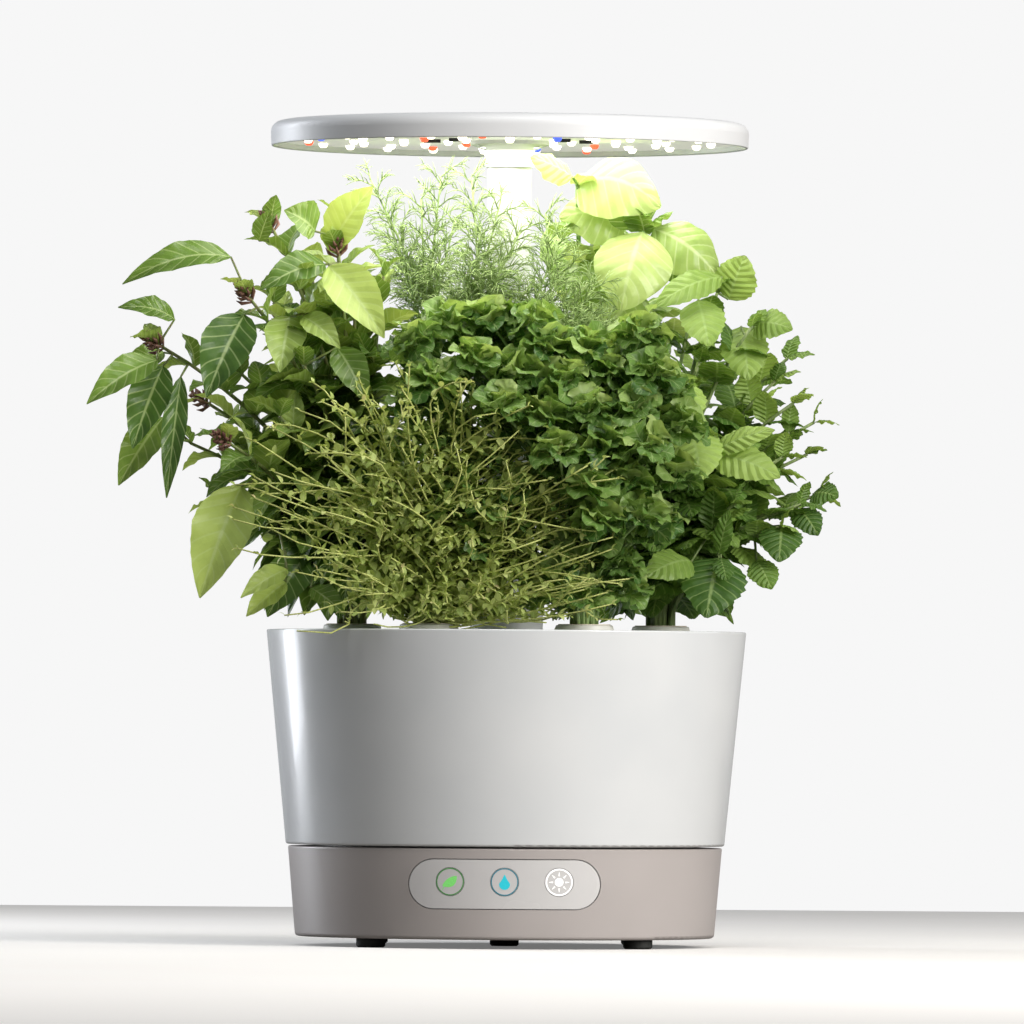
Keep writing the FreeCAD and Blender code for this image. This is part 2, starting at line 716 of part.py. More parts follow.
def tact_switches():
    """Two board switches behind the buttons, each with its round plunger."""
    solids = []
    half = SWITCH_SIZE / 2
    front = -BOARD_FRONT_DEPTH - SWITCH_DEPTH
    for x in (-ICON_SPACING, ICON_SPACING):
        z_range = (ICON_HEIGHT - half, ICON_HEIGHT + half)
        body = block((x - half, x + half), (front, -BOARD_FRONT_DEPTH), z_range)
        tip = front - SWITCH_PLUNGER_LENGTH
        plunger = rod_y(SWITCH_PLUNGER_RADIUS, tip, front + JOIN_OVERLAP, x, ICON_HEIGHT)
        solids.append(body.fuse(plunger))
    return group(solids)


def indicator_leds():
    """Board lamps: one behind the water lens, and one below each button's stem."""
    solids = []
    places = [(0, ICON_HEIGHT)]
    places += [(x, ICON_HEIGHT - INDICATOR_DROP) for x in (-ICON_SPACING, ICON_SPACING)]
    for x, z in places:
        near = -BOARD_FRONT_DEPTH - INDICATOR_DEPTH
        solids.append(rod_y(INDICATOR_RADIUS, near, -BOARD_FRONT_DEPTH, x, z))
    return group(solids)


def board_screws():
    solids = []
    rear = -BOARD_FRONT_DEPTH + BOARD_THICKNESS
    for x in panel_boss_places():
        head_end = rear + SMALL_SCREW_HEAD_HEIGHT
        tip = rear - SMALL_SCREW_LENGTH
        head = rod_y(SMALL_SCREW_HEAD_RADIUS, rear, head_end, x, PANEL_CENTRE_HEIGHT)
        shank = rod_y(SMALL_SCREW_RADIUS, tip, rear + JOIN_OVERLAP, x, PANEL_CENTRE_HEIGHT)
        solids.append(head.fuse(shank))
    return group(solids)


# Power and signals in the base


def dc_jack():
    """Barrel socket: a box with a round nose that shows in the back of the base."""
    rear = jack_rear()
    half = JACK_BODY_WIDTH / 2
    z_range = (JACK_HEIGHT - JACK_BODY_HEIGHT / 2, JACK_HEIGHT + JACK_BODY_HEIGHT / 2)
    body = block((-half, half), (rear - JACK_BODY_DEPTH, rear), z_range)
    outside = base_radius(JACK_HEIGHT - JACK_NOSE_RADIUS)
    nose = rod_y(JACK_NOSE_RADIUS, rear - JOIN_OVERLAP, outside, 0, JACK_HEIGHT)
    bore = rod_y(JACK_BORE_RADIUS, outside - JACK_BORE_DEPTH, outside + 1, 0, JACK_HEIGHT)
    pin_tip = outside - 2.0
    pin = rod_y(JACK_PIN_RADIUS, outside - JACK_BORE_DEPTH - JOIN_OVERLAP, pin_tip, 0, JACK_HEIGHT)
    return body.fuse(nose).cut(bore).fuse(pin).removeSplitter()


def contact_places():
    step = FULL_TURN / CONTACT_COUNT
    return [round_place(CONTACT_CIRCLE_RADIUS, DIAGONAL + step * index) for index in range(CONTACT_COUNT)]


def base_connector():
    """Contact block under the base's deck, with spring pins that meet the bowl's pads."""
    low = base_top - BASE_CONNECTOR_DEPTH
    flange = BASE_CONNECTOR_RADIUS + CONNECTOR_FLANGE_MARGIN
    body = turned([
        (0, low),
        (flange, low),
        (flange, base_deck_bottom),
        (BASE_CONNECTOR_RADIUS, base_deck_bottom),
        (BASE_CONNECTOR_RADIUS, base_top),
        (0, base_top),
    ])
    pins = [rod(CONTACT_RADIUS, low + 2, base_top + CONTACT_PROUD, p) for p in contact_places()]
    return group([body.cut(pins)] + pins)


def float_place():
    return round_place(FLOAT_CIRCLE_RADIUS, FLOAT_ANGLE)


def level_sensor():
    """Magnet switch in its case, under the base's deck and below the float."""
    x, y = float_place()
    width, depth = SENSOR_WIDTH / 2, SENSOR_DEPTH / 2
    z_range = (base_deck_bottom - SENSOR_THICKNESS, base_deck_bottom)
    return block((x - width, x + width), (y - depth, y + depth), z_range)


def base_wiring():
    """Jack to board, board to connector, and sensor to board."""
    board_rear = -BOARD_FRONT_DEPTH + BOARD_THICKNESS + WIRE_END_GAP
    jack_end = jack_rear() - JACK_BODY_DEPTH - WIRE_END_GAP
    low = base_top - BASE_CONNECTOR_DEPTH - WIRE_END_GAP
    x, y = float_place()
    sensor = base_deck_bottom - SENSOR_THICKNESS - WIRE_END_GAP
    power = wire_lead([
        (0, jack_end, JACK_HEIGHT),
        (0, jack_end - 28, JACK_HEIGHT),
        (26, jack_end - 52, JACK_HEIGHT - 6),
        (44, 10, JACK_HEIGHT - 8),
        (46, -36, JACK_HEIGHT - 2),
        (34, board_rear + 26, PANEL_CENTRE_HEIGHT - 5),
        (34, board_rear, PANEL_CENTRE_HEIGHT - 5),
    ], WIRE_RADIUS)
    signal = wire_lead([
        (-6, -4, low),
        (-6, -4, low - 16),
        (-8, -26, low - 22),
        (-14, -52, PANEL_CENTRE_HEIGHT - 4),
        (-14, board_rear, PANEL_CENTRE_HEIGHT - 4),
    ], WIRE_RADIUS)
    sensing = wire_lead([
        (x, y, sensor),
        (x, y, sensor - 16),
        (x + 14, y - 30, sensor - 24),
        (x + 34, y - 66, sensor - 20),
        (-42, board_rear + 34, PANEL_CENTRE_HEIGHT + 3),
        (-36, board_rear, PANEL_CENTRE_HEIGHT + 3),
    ], WIRE_RADIUS)
    return group([power, signal, sensing])


# Water bowl


def bowl():
    ledge_top = deck_bottom
    ledge_low = ledge_top - LEDGE_THICKNESS
    wall = BOWL_WALL
    hole = BASE_CONNECTOR_RADIUS + CONNECTOR_CLEARANCE
    shell = turned([
        (hole, bowl_bottom),
        (bowl_radius(bowl_bottom), bowl_bottom, BOWL_BOTTOM_ROUND),
        (bowl_radius(rim_height), rim_height, BOWL_RIM_ROUND),
        (bowl_radius(rim_height) - wall, rim_height, BOWL_RIM_ROUND),
        (bowl_radius(ledge_top) - wall, ledge_top),
        (bowl_radius(ledge_top) - wall - LEDGE_WIDTH, ledge_top),
        (bowl_radius(ledge_top) - wall - LEDGE_WIDTH, ledge_low),
        (bowl_radius(ledge_low - LEDGE_WIDTH) - wall, ledge_low - LEDGE_WIDTH),
        (bowl_radius(bowl_floor) - wall, bowl_floor, 3.0),
        (column_outer_radius, bowl_floor, COLUMN_FOOT_ROUND),
        (column_outer_radius, deck_bottom),
        (column_radius, deck_bottom),
        (column_radius, bowl_floor),
        (hole, bowl_floor),
    ])
    lead_hole = LEAD_RADIUS + LEAD_HOLE_CLEARANCE
    return shell.cut(rod_y(lead_hole, 0, column_outer_radius + 2, 0, lead_height()))


def bowl_connector():
    """Contact block in the bowl's floor; carries current on to the mast and the pump."""
    flange = BASE_CONNECTOR_RADIUS + CONNECTOR_FLANGE_MARGIN
    body = turned([
        (0, bowl_bottom),
        (BASE_CONNECTOR_RADIUS, bowl_bottom),
        (BASE_CONNECTOR_RADIUS, bowl_floor),
        (flange, bowl_floor),
        (flange, bowl_floor + CONNECTOR_FLANGE_THICKNESS),
        (BASE_CONNECTOR_RADIUS, bowl_floor + CONNECTOR_FLANGE_THICKNESS),
        (BASE_CONNECTOR_RADIUS, connector_top),
        (0, connector_top),
    ])
    pads = [rod(CONTACT_RADIUS, bowl_bottom + CONTACT_SINK, bowl_bottom + 2, p) for p in contact_places()]
    wells = [rod(CONTACT_RADIUS, bowl_bottom - 1, bowl_bottom + 2, p) for p in contact_places()]
    return group([body.cut(wells)] + pads)


def lead_height():
    """Height of the pump's lead, just above the connector's flange."""
    return bowl_floor + CONNECTOR_FLANGE_THICKNESS + LEAD_RADIUS + WIRE_END_GAP


def pump_lead():
    """Straight lead along the floor, from the pump into the dry column."""
    near = BASE_CONNECTOR_RADIUS + WIRE_END_GAP
    far = PUMP_CENTRE - PUMP_RADIUS - WIRE_END_GAP
    return rod_y(LEAD_RADIUS, near, far, 0, lead_height())


def chamber_top():
    return pump_bottom + CHAMBER_HEIGHT


def pipe_height():
    """Height of the pump's outlet."""
    return pump_bottom + PIPE_HEIGHT_IN_CHAMBER


def pump_housing():
    """Potted motor over an open chamber for the impeller."""
    centre = (0, PUMP_CENTRE)
    pin_hole = IMPELLER_PIN_RADIUS + SCREW_PILOT_CLEARANCE
    top = pump_bottom + PUMP_HEIGHT
    housing = turned([
        (0, pump_bottom),
        (PUMP_RADIUS, pump_bottom),
        (PUMP_RADIUS, top, PUMP_EDGE_ROUND),
        (0, top),
    ], centre)
    outlet = rod_y(PIPE_BORE_RADIUS, PUMP_CENTRE - PUMP_RADIUS - 1, PUMP_CENTRE, 0, pipe_height())
    cuts = [rod(CHAMBER_RADIUS, pump_bottom - 1, chamber_top(), centre)]
    cuts.append(rod(pin_hole, chamber_top() - 1, chamber_top() + 3, centre))
    cuts.append(outlet)
    return housing.cut(cuts)


def pump_cover():
    """Disc that closes the chamber from below, with the water inlet."""
    centre = (0, PUMP_CENTRE)
    low = pump_bottom - PUMP_COVER_THICKNESS
    pin_hole = IMPELLER_PIN_RADIUS + SCREW_PILOT_CLEARANCE
    cover = ring(PUMP_RADIUS, pin_hole, low, pump_bottom, centre)
    holes = []
    for index in range(IMPELLER_BLADE_COUNT):
        x, y = round_place(CHAMBER_RADIUS - PUMP_INLET_RADIUS, index * FULL_TURN / IMPELLER_BLADE_COUNT)
        holes.append(rod(PUMP_INLET_RADIUS / 2, low - 1, pump_bottom + 1, (x, y + PUMP_CENTRE)))
    return cover.cut(holes)


def intake_filter():
    """Foam pad under the pump."""
    return ring(FILTER_RADIUS, PUMP_INLET_RADIUS, bowl_floor, bowl_floor + FILTER_THICKNESS,
                (0, PUMP_CENTRE))


def impeller_pin():
    low = pump_bottom - PUMP_COVER_THICKNESS
    return rod(IMPELLER_PIN_RADIUS, low, chamber_top() + IMPELLER_PIN_ANCHOR, (0, PUMP_CENTRE))


def impeller():
    """Magnetic rotor with radial blades, on the pin."""
    low = pump_bottom + IMPELLER_END_GAP
    high = low + IMPELLER_HEIGHT
    centre = (0, PUMP_CENTRE)
    hub = rod(IMPELLER_HUB_RADIUS, low, chamber_top() - IMPELLER_END_GAP, centre)
    half = IMPELLER_BLADE_THICKNESS / 2
    blades = []
    for index in range(IMPELLER_BLADE_COUNT):
        blade = block((0, IMPELLER_RADIUS), (-half, half), (low, high))
        turn = index * FULL_TURN / IMPELLER_BLADE_COUNT
        blade.rotate(Vector(0, 0, 0), Vector(0, 0, 1), turn)
        blade.translate(Vector(centre[0], centre[1], 0))
        blades.append(blade)
    bore = rod(IMPELLER_PIN_RADIUS + IMPELLER_PIN_CLEARANCE, low - 1, chamber_top() + 1, centre)
    return hub.fuse(blades).cut(bore).removeSplitter()


def riser_pipe():
    """Moulded elbow pipe from the pump's outlet up to the manifold."""
    start = PUMP_CENTRE - PUMP_RADIUS
    points = [
        (0, start, pipe_height()),
        (0, MANIFOLD_RADIUS, pipe_height()),
        (0, MANIFOLD_RADIUS, deck_bottom - MANIFOLD_HEIGHT),
    ]
    outside = bent_tube(points, PIPE_RADIUS, [PIPE_BEND_RADIUS])
    return outside.cut(bent_tube(points, PIPE_BORE_RADIUS, [PIPE_BEND_RADIUS]))


def water_manifold():
    """Ring channel under the deck, with one spout for each pod."""
    low = deck_bottom - MANIFOLD_HEIGHT
    inner = MANIFOLD_RADIUS - MANIFOLD_WIDTH / 2
    outer = MANIFOLD_RADIUS + MANIFOLD_WIDTH / 2
    wall = MANIFOLD_WALL
    channel = ring(outer, inner, low, deck_bottom)
    middle = deck_bottom - MANIFOLD_HEIGHT / 2
    spouts, bores = [], []
    for index in range(POD_COUNT):
        turn = index * FULL_TURN / POD_COUNT
        for radius, near, far, kept in (
            (SPOUT_RADIUS, outer - wall, outer + SPOUT_LENGTH, spouts),
            (SPOUT_BORE_RADIUS, outer - 2 * wall, outer + SPOUT_LENGTH + 1, bores),
        ):
            piece = rod_x(radius, near, far, 0, middle)
            piece.rotate(Vector(0, 0, 0), Vector(0, 0, 1), turn)
            kept.append(piece)
    hollow = ring(outer - wall, inner + wall, low + wall, deck_bottom - wall)
    inlet = rod(PIPE_BORE_RADIUS, low - 1, low + 2 * wall, (0, MANIFOLD_RADIUS))
    return channel.fuse(spouts).cut([hollow, inlet] + bores)


def float_bottom():
    return bowl_floor + GUIDE_FLANGE_THICKNESS + FLOAT_REST_GAP


def float_guide():
    """Post that the float slides on, with a foot and an end stop."""
    top = float_bottom() + FLOAT_LENGTH + FLOAT_TRAVEL + FLOAT_REST_GAP
    return turned([
        (0, bowl_floor),
        (GUIDE_FLANGE_RADIUS, bowl_floor),
        (GUIDE_FLANGE_RADIUS, bowl_floor + GUIDE_FLANGE_THICKNESS),
        (GUIDE_RADIUS, bowl_floor + GUIDE_FLANGE_THICKNESS),
        (GUIDE_RADIUS, top),
        (GUIDE_CAP_RADIUS, top),
        (GUIDE_CAP_RADIUS, top + GUIDE_CAP_THICKNESS, GUIDE_CAP_ROUND),
        (0, top + GUIDE_CAP_THICKNESS),
    ], float_place())


def level_float():
    """Hollow float with a ring magnet in its lower end."""
    low = float_bottom()
    high = low + FLOAT_LENGTH
    bore = GUIDE_RADIUS + FLOAT_BORE_CLEARANCE
    body = turned([
        (bore, low),
        (FLOAT_RADIUS, low, FLOAT_EDGE_ROUND),
        (FLOAT_RADIUS, high, FLOAT_EDGE_ROUND),
        (bore, high),
    ], float_place())
    magnet = ring(FLOAT_MAGNET_RADIUS, bore + 1, low + 1, low + 4, float_place())
    return group([body.cut(magnet), magnet])


# Grow deck


def pod_place(index):
    return round_place(POD_CIRCLE_RADIUS, index * FULL_TURN / POD_COUNT)


def lug_span():
    """Inner and outer ends of the hinge lugs beside the lid's knuckle."""
    return LID_KNUCKLE_LENGTH / 2 + LID_KNUCKLE_GAP, LID_PIN_LENGTH / 2


def grow_deck():
    """Cover of the bowl, with six pod holes, the fill neck and the lid's hinge lugs."""
    neck = FILL_HOLE_RADIUS + FILL_NECK_WALL
    neck_top = deck_top + FILL_NECK_HEIGHT
    fill = (0, FILL_HOLE_CENTRE)
    low_radius = bowl_radius(deck_bottom) - BOWL_WALL - DECK_CLEARANCE
    high_radius = bowl_radius(deck_top) - BOWL_WALL - DECK_CLEARANCE
    deck = turned([
        (column_radius, deck_bottom),
        (low_radius, deck_bottom),
        (high_radius, deck_top),
        (column_radius, deck_top),
    ])
    inner, outer = lug_span()
    lugs = [rod(neck, deck_bottom, neck_top, fill)]
    for near, far in ((inner, outer), (-outer, -inner)):
        eye = rod_x(LID_KNUCKLE_RADIUS, near, far, hinge_line, hinge_height)
        y_range = (hinge_line - LID_KNUCKLE_RADIUS, hinge_line + LID_KNUCKLE_RADIUS)
        lugs.append(eye.fuse(block((near, far), y_range, (deck_bottom, hinge_height))))
    deck = deck.fuse(lugs)
    reach = LID_PIN_LENGTH / 2 + 1
    cuts = [
        rod(FILL_HOLE_RADIUS, deck_bottom - 1, neck_top + 1, fill),
        rod_x(LID_PIN_RADIUS + LID_PIN_CLEARANCE, -reach, reach, hinge_line, hinge_height),
    ]
    hole = BASKET_TOP_RADIUS + POD_HOLE_CLEARANCE
    for index in range(POD_COUNT):
        cuts.append(rod(hole, deck_bottom - 1, deck_top + 1, pod_place(index)))
    return deck.cut(cuts).removeSplitter()


def fill_lid():
    """Flap over the fill neck, with a knuckle on the pin and a finger tab."""
    high = lid_bottom + LID_THICKNESS
    knuckle = LID_KNUCKLE_LENGTH / 2
    disc = rod(LID_RADIUS, lid_bottom, high, (0, FILL_HOLE_CENTRE))
    eye = rod_x(LID_KNUCKLE_RADIUS, -knuckle, knuckle, hinge_line, hinge_height)
    strap = block((-knuckle, knuckle), (hinge_line, FILL_HOLE_CENTRE - LID_RADIUS / 2),
                  (lid_bottom, high))
    tab_end = FILL_HOLE_CENTRE + LID_RADIUS + LID_TAB_LENGTH
    tab_start = FILL_HOLE_CENTRE + LID_RADIUS / 2
    half = LID_TAB_WIDTH / 2
    tab = block((-half, half), (tab_start, tab_end), (lid_bottom, high))
    bore = rod_x(LID_PIN_RADIUS + LID_PIN_CLEARANCE, -knuckle - 1, knuckle + 1, hinge_line,
                 hinge_height)
    return disc.fuse([eye, strap, tab]).cut(bore).removeSplitter()


def lid_pin():
    half = LID_PIN_LENGTH / 2
    return rod_x(LID_PIN_RADIUS, -half, half, hinge_line, hinge_height)


def grow_basket(index):
    """Slotted tapered cup with a flange on the deck and a raised collar."""
    wall = BASKET_WALL
    centre = pod_place(index)
    basket = turned([
        (BASKET_DRAIN_RADIUS, basket_floor),
        (BASKET_BOTTOM_RADIUS, basket_floor, BASKET_EDGE_ROUND),
        (BASKET_TOP_RADIUS, deck_top),
        (BASKET_FLANGE_RADIUS, deck_top),
        (BASKET_FLANGE_RADIUS, flange_top),
        (BASKET_COLLAR_RADIUS, flange_top),
        (BASKET_COLLAR_TOP_RADIUS, basket_top, 1.0),
        (BASKET_MOUTH_RADIUS, basket_top),
        (BASKET_MOUTH_RADIUS, flange_top + 2),
        (BASKET_TOP_RADIUS - wall, deck_top),
        (BASKET_BOTTOM_RADIUS - wall, basket_floor + wall),
        (BASKET_DRAIN_RADIUS, basket_floor + wall),
    ], centre)
    slots = []
    half = BASKET_SLOT_WIDTH / 2
    low = basket_floor + 3 * wall
    for step in range(BASKET_SLOT_COUNT):
        slot = block((0, BASKET_TOP_RADIUS), (-half, half), (low, low + BASKET_SLOT_HEIGHT))
        slot.rotate(Vector(0, 0, 0), Vector(0, 0, 1), DIAGONAL + step * FULL_TURN / BASKET_SLOT_COUNT)
        slot.translate(Vector(centre[0], centre[1], 0))
        slots.append(slot)
    return basket.cut(slots)


def grow_sponges():
    """Peat plugs that fill the baskets."""
    solids = []
    gap = BASKET_WALL + SPONGE_CLEARANCE
    for index in range(POD_COUNT):
        solids.append(turned([
            (0, basket_floor + gap),
            (BASKET_BOTTOM_RADIUS - gap, basket_floor + gap),
            (BASKET_MOUTH_RADIUS - SPONGE_CLEARANCE, deck_top - SPONGE_DEPTH),
            (BASKET_MOUTH_RADIUS - SPONGE_CLEARANCE, sponge_top, SPONGE_EDGE_ROUND),
            (0, sponge_top),
        ], pod_place(index)))
    return group(solids)


def pod_labels():
    """Paper rings on the pods' collars."""
    outer = BASKET_COLLAR_TOP_RADIUS - LABEL_SETBACK
    solids = []
    for index in range(POD_COUNT):
        solids.append(ring(outer, LABEL_HOLE_RADIUS, basket_top, label_top, pod_place(index)))
    return group(solids)


def mast_socket():
    """Ring on the deck that steadies the mast."""
    bore = MAST_RADIUS + SOCKET_CLEARANCE
    return turned([
        (bore, deck_top),
        (SOCKET_RADIUS, deck_top),
        (SOCKET_RADIUS, socket_top, 2.0),
        (bore, socket_top),
    ])


# Mast


def mast_tube():
    return ring(MAST_RADIUS, mast_bore, mast_bottom, MAST_TOP_HEIGHT)


def mast_collar():
    """Collar that carries the mast on its socket."""
    return turned([
        (MAST_RADIUS + COLLAR_FIT, socket_top),
        (COLLAR_RADIUS, socket_top),
        (COLLAR_RADIUS, socket_top + COLLAR_HEIGHT, 2.0),
        (MAST_RADIUS + COLLAR_FIT, socket_top + COLLAR_HEIGHT),
    ])


def friction_bush():
    """Sleeve in the lower tube's mouth that grips the upper tube."""
    low = MAST_TOP_HEIGHT - BUSH_LENGTH
    inner = UPPER_MAST_RADIUS + BUSH_FIT
    return turned([
        (inner, low),
        (mast_bore - BUSH_FIT, low),
        (mast_bore - BUSH_FIT, MAST_TOP_HEIGHT),
        (MAST_RADIUS, MAST_TOP_HEIGHT),
        (MAST_RADIUS, MAST_TOP_HEIGHT + BUSH_LIP_HEIGHT, BUSH_LIP_ROUND),
        (inner, MAST_TOP_HEIGHT + BUSH_LIP_HEIGHT),
    ])


def mast_plug():
    """Contact plug in the foot of the mast."""
    return rod(mast_bore - PLUG_FIT, mast_bottom, mast_bottom + PLUG_LENGTH)


def lamp_lead():
    """Coiled lead inside the mast, as the closed form that its turns fill."""
    low = mast_bottom + PLUG_LENGTH + WIRE_END_GAP
    return rod(LAMP_LEAD_RADIUS, low, upper_mast_top)


# Light hood


def mast_tube_upper():
    """Sliding tube; its swaged foot stops under the bush."""
    inner = UPPER_MAST_RADIUS - UPPER_MAST_WALL
    swage_top = MAST_TOP_HEIGHT - BUSH_LENGTH - STOP_SWAGE_GAP
    swage_radius = mast_bore - STOP_SWAGE_FIT
    swage_low = swage_top - STOP_SWAGE_HEIGHT
    return turned([
        (inner, upper_mast_bottom),
        (UPPER_MAST_RADIUS, upper_mast_bottom),
        (UPPER_MAST_RADIUS, swage_low - 2),
        (swage_radius, swage_low),
        (swage_radius, swage_top),
        (UPPER_MAST_RADIUS, swage_top),
        (UPPER_MAST_RADIUS, upper_mast_top),
        (inner, upper_mast_top),
    ])


def hub_screw_places():
    step = FULL_TURN / HUB_SCREW_COUNT
    return [round_place(HUB_SCREW_CIRCLE_RADIUS, 90 + step * i) for i in range(HUB_SCREW_COUNT)]


def hood_hub():
    """Stepped ring that joins the upper tube to the hood."""
    inner = UPPER_MAST_RADIUS + HUB_FIT
    hub = turned([
        (inner, hub_bottom),
        (HUB_COLLAR_RADIUS, hub_bottom),
        (HUB_COLLAR_RADIUS, hub_disc_bottom),
        (HUB_DISC_RADIUS, hub_disc_bottom),
        (HUB_DISC_RADIUS, hub_disc_top),
        (HUB_PLATE_RADIUS, hub_plate_bottom),
        (HUB_PLATE_RADIUS, led_board_bottom),
        (inner, led_board_bottom),
    ])
    shank = SMALL_SCREW_RADIUS + SCREW_HEAD_CLEARANCE
    head = SMALL_SCREW_HEAD_RADIUS + SCREW_HEAD_CLEARANCE
    cuts = []
    for place in hub_screw_places():
        cuts.append(rod(shank, hub_disc_bottom, led_board_bottom + 1, place))
        cuts.append(rod(head, hub_disc_bottom, hub_plate_bottom, place))
    return hub.cut(cuts)


def hood_screws():
    solids = []
    for place in hub_screw_places():
        low = hub_plate_bottom - SMALL_SCREW_HEAD_HEIGHT
        solids.append(turned([
            (0, low),
            (SMALL_SCREW_HEAD_RADIUS, low, 0.5),
            (SMALL_SCREW_HEAD_RADIUS, hub_plate_bottom),
            (SMALL_SCREW_RADIUS, hub_plate_bottom),
            (SMALL_SCREW_RADIUS, hub_plate_bottom + SMALL_SCREW_LENGTH),
            (0, hub_plate_bottom + SMALL_SCREW_LENGTH),
        ], place))
    return group(solids)


def hood_shell():
    """Shallow round lid over the light board, with a boss for the hub's screws."""
    board_radius = HOOD_BOTTOM_RADIUS - HOOD_WALL
    roof = hood_top - HOOD_WALL
    step = board_radius - HOOD_LEDGE_WIDTH
    edge_top = hood_top - HOOD_CROWN
    shell = turned([
        (0, hood_top),
        (0, roof),
        (step, roof - HOOD_CROWN),
        (step, led_board_top),
        (board_radius, led_board_top),
        (board_radius, hood_bottom, HOOD_LIP_ROUND),
        (HOOD_BOTTOM_RADIUS, hood_bottom, HOOD_LIP_ROUND),
        (HOOD_TOP_RADIUS, edge_top, HOOD_TOP_ROUND),
    ])
    boss_inner = HUB_PLATE_RADIUS - HUB_BOSS_WIDTH
    shell = shell.fuse(ring(HUB_PLATE_RADIUS, boss_inner, led_board_top, roof))
    pilot = SMALL_SCREW_RADIUS + SCREW_PILOT_CLEARANCE
    deep = hub_plate_bottom + SMALL_SCREW_LENGTH + 0.5
    pilots = [rod(pilot, led_board_top - 1, deep, place) for place in hub_screw_places()]
    return shell.cut(pilots).removeSplitter()


def led_board():
    radius = HOOD_BOTTOM_RADIUS - HOOD_WALL - LED_BOARD_CLEARANCE
    board = ring(radius, LED_BOARD_HOLE_RADIUS, led_board_bottom, led_board_top)
    hole = SMALL_SCREW_RADIUS + SCREW_HEAD_CLEARANCE
    holes = [rod(hole, led_board_bottom - 1, led_board_top + 1, p) for p in hub_screw_places()]
    return board.cut(holes)


def led_kind(ring_index, place_index):
    """Colour of one lamp: mostly white, with some red and a few blue."""
    count = place_index * LED_PLACE_STEP + ring_index * LED_RING_STEP
    if count % RED_LED_EVERY == 1:
        return "red"
    if count % BLUE_LED_EVERY == FIRST_BLUE_LED:
        return "blue"
    return "white"


def leds(kind):
    """Domed lamps on the underside of the board, in rings."""
    solids = []
    low = led_board_bottom - LED_BASE_HEIGHT
    for ring_index, (radius, count) in enumerate(LED_RINGS):
        for place_index in range(count):
            if led_kind(ring_index, place_index) != kind:
                continue
            turn = (place_index + 0.5 * (ring_index % 2)) * FULL_TURN / count
            base = rod(LED_BASE_RADIUS, low, led_board_bottom)
            dome = turned([
                (0, low + JOIN_OVERLAP),
                (0, low - LED_DOME_HEIGHT),
                (LED_DOME_RADIUS, low - LED_DOME_HEIGHT, LED_DOME_HEIGHT * LED_DOME_ROUND_SHARE),
                (LED_DOME_RADIUS, low + JOIN_OVERLAP),
            ])
            lamp = base.fuse(dome)
            x, y = round_place(radius, turn)
            lamp.translate(Vector(x, y, 0))
            solids.append(lamp)
    return group(solids)


def board_drivers():
    """Driver chips on the underside of the board."""
    width, depth, height = DRIVER_CHIP_SIZE
    solids = []
    for angle in DRIVER_CHIP_ANGLES:
        x, y = round_place(DRIVER_CHIP_RADIUS, angle)
        solids.append(block((x - width / 2, x + width / 2), (y - depth / 2, y + depth / 2),
                            (led_board_bottom - height, led_board_bottom)))
    return group(solids)


# Plants


# Shoot tips and single leaves are counted from the plant's own pod: x, y, and height above its
# sponge. A single leaf is its base, its tip, its width and the rise of its arch.
THAI_BASIL_SHOOTS = (
    (-58, -30, 184), (-108, -10, 158), (-9, -20, 210), (-47, 25, 225), (-69, -50, 104),
    (-27, -45, 146), (-40, 60, 173), (-83, 40, 128), (-50, -20, 63),
)
THAI_BASIL_LEAVES = (
    ((-14, -30, 201), (17, -52, 161), 28, 5),
    ((-68, -20, 206), (-127, -38, 190), 18, 12),
    ((-16, -28, 202), (-51, -48, 187), 20, 6),
    ((-60, -32, 174), (-80, -55, 128), 30, 5),
    ((-12, -15, 214), (10, -30, 245), 25, 3),
    ((-22, -5, 221), (-39, -15, 232), 24, 3),
    ((-108, -20, 149), (-146, -40, 124), 20, 6),
    ((-99, -5, 172), (-130, -15, 178), 14, 6),
    ((-105, 10, 154), (-129, 0, 140), 16, 4),
    ((-105, -12, 146), (-121, -30, 100), 24, 4),
    ((-53, 5, 216), (-47, 0, 233), 12, 1),
    ((-35, -30, 173), (-40, -50, 142), 24, 4),
    ((-28, -35, 173), (-7, -52, 155), 16, 4),
    ((-9, -40, 156), (8, -58, 125), 20, 4),
    ((-95, -20, 140), (-102, -35, 73), 14, 3),
    ((-61, -30, 80), (-83, -50, 18), 34, 6),
    ((-35, -60, 34), (-60, -78, 18), 14, 3),
    ((-36, -55, 27), (-57, -70, 8), 15, 2),
    ((-26, -35, 41), (-46, -45, 8), 26, 4),
    ((-22, -50, 24), (-3, -65, 9), 14, 2),
    ((-105, 0, 118), (-129, -15, 80), 22, 4),
)
BASIL_SHOOTS = ((32, -72, 222), (-5, -74, 248), (18, -4, 208), (42, -24, 128))
BASIL_LEAVES = (
    ((-6, -69, 248), (41, -79, 236), 42, 16),
    ((-8, -84, 252), (-31, -98, 262), 18, 2),
    ((32, -69, 224), (23, -82, 248), 32, 2),
    ((31, -79, 222), (19, -102, 178), 44, 10),
    ((37, -69, 224), (73, -76, 197), 34, 9),
    ((23, -59, 232), (-15, -69, 230), 36, 5),
    ((37, -54, 220), (61, -59, 192), 24, 4),
    ((29, -64, 190), (5, -76, 154), 40, 6),
    ((19, -54, 213), (-9, -66, 180), 34, 5),
)
MINT_SHOOTS = (
    (30, -5, 189), (69, 5, 153), (49, -25, 170), (28, -45, 103), (87, -5, 78), (65, -30, 60),
    (35, -45, 63), (55, 45, 128), (25, 45, 158),
)
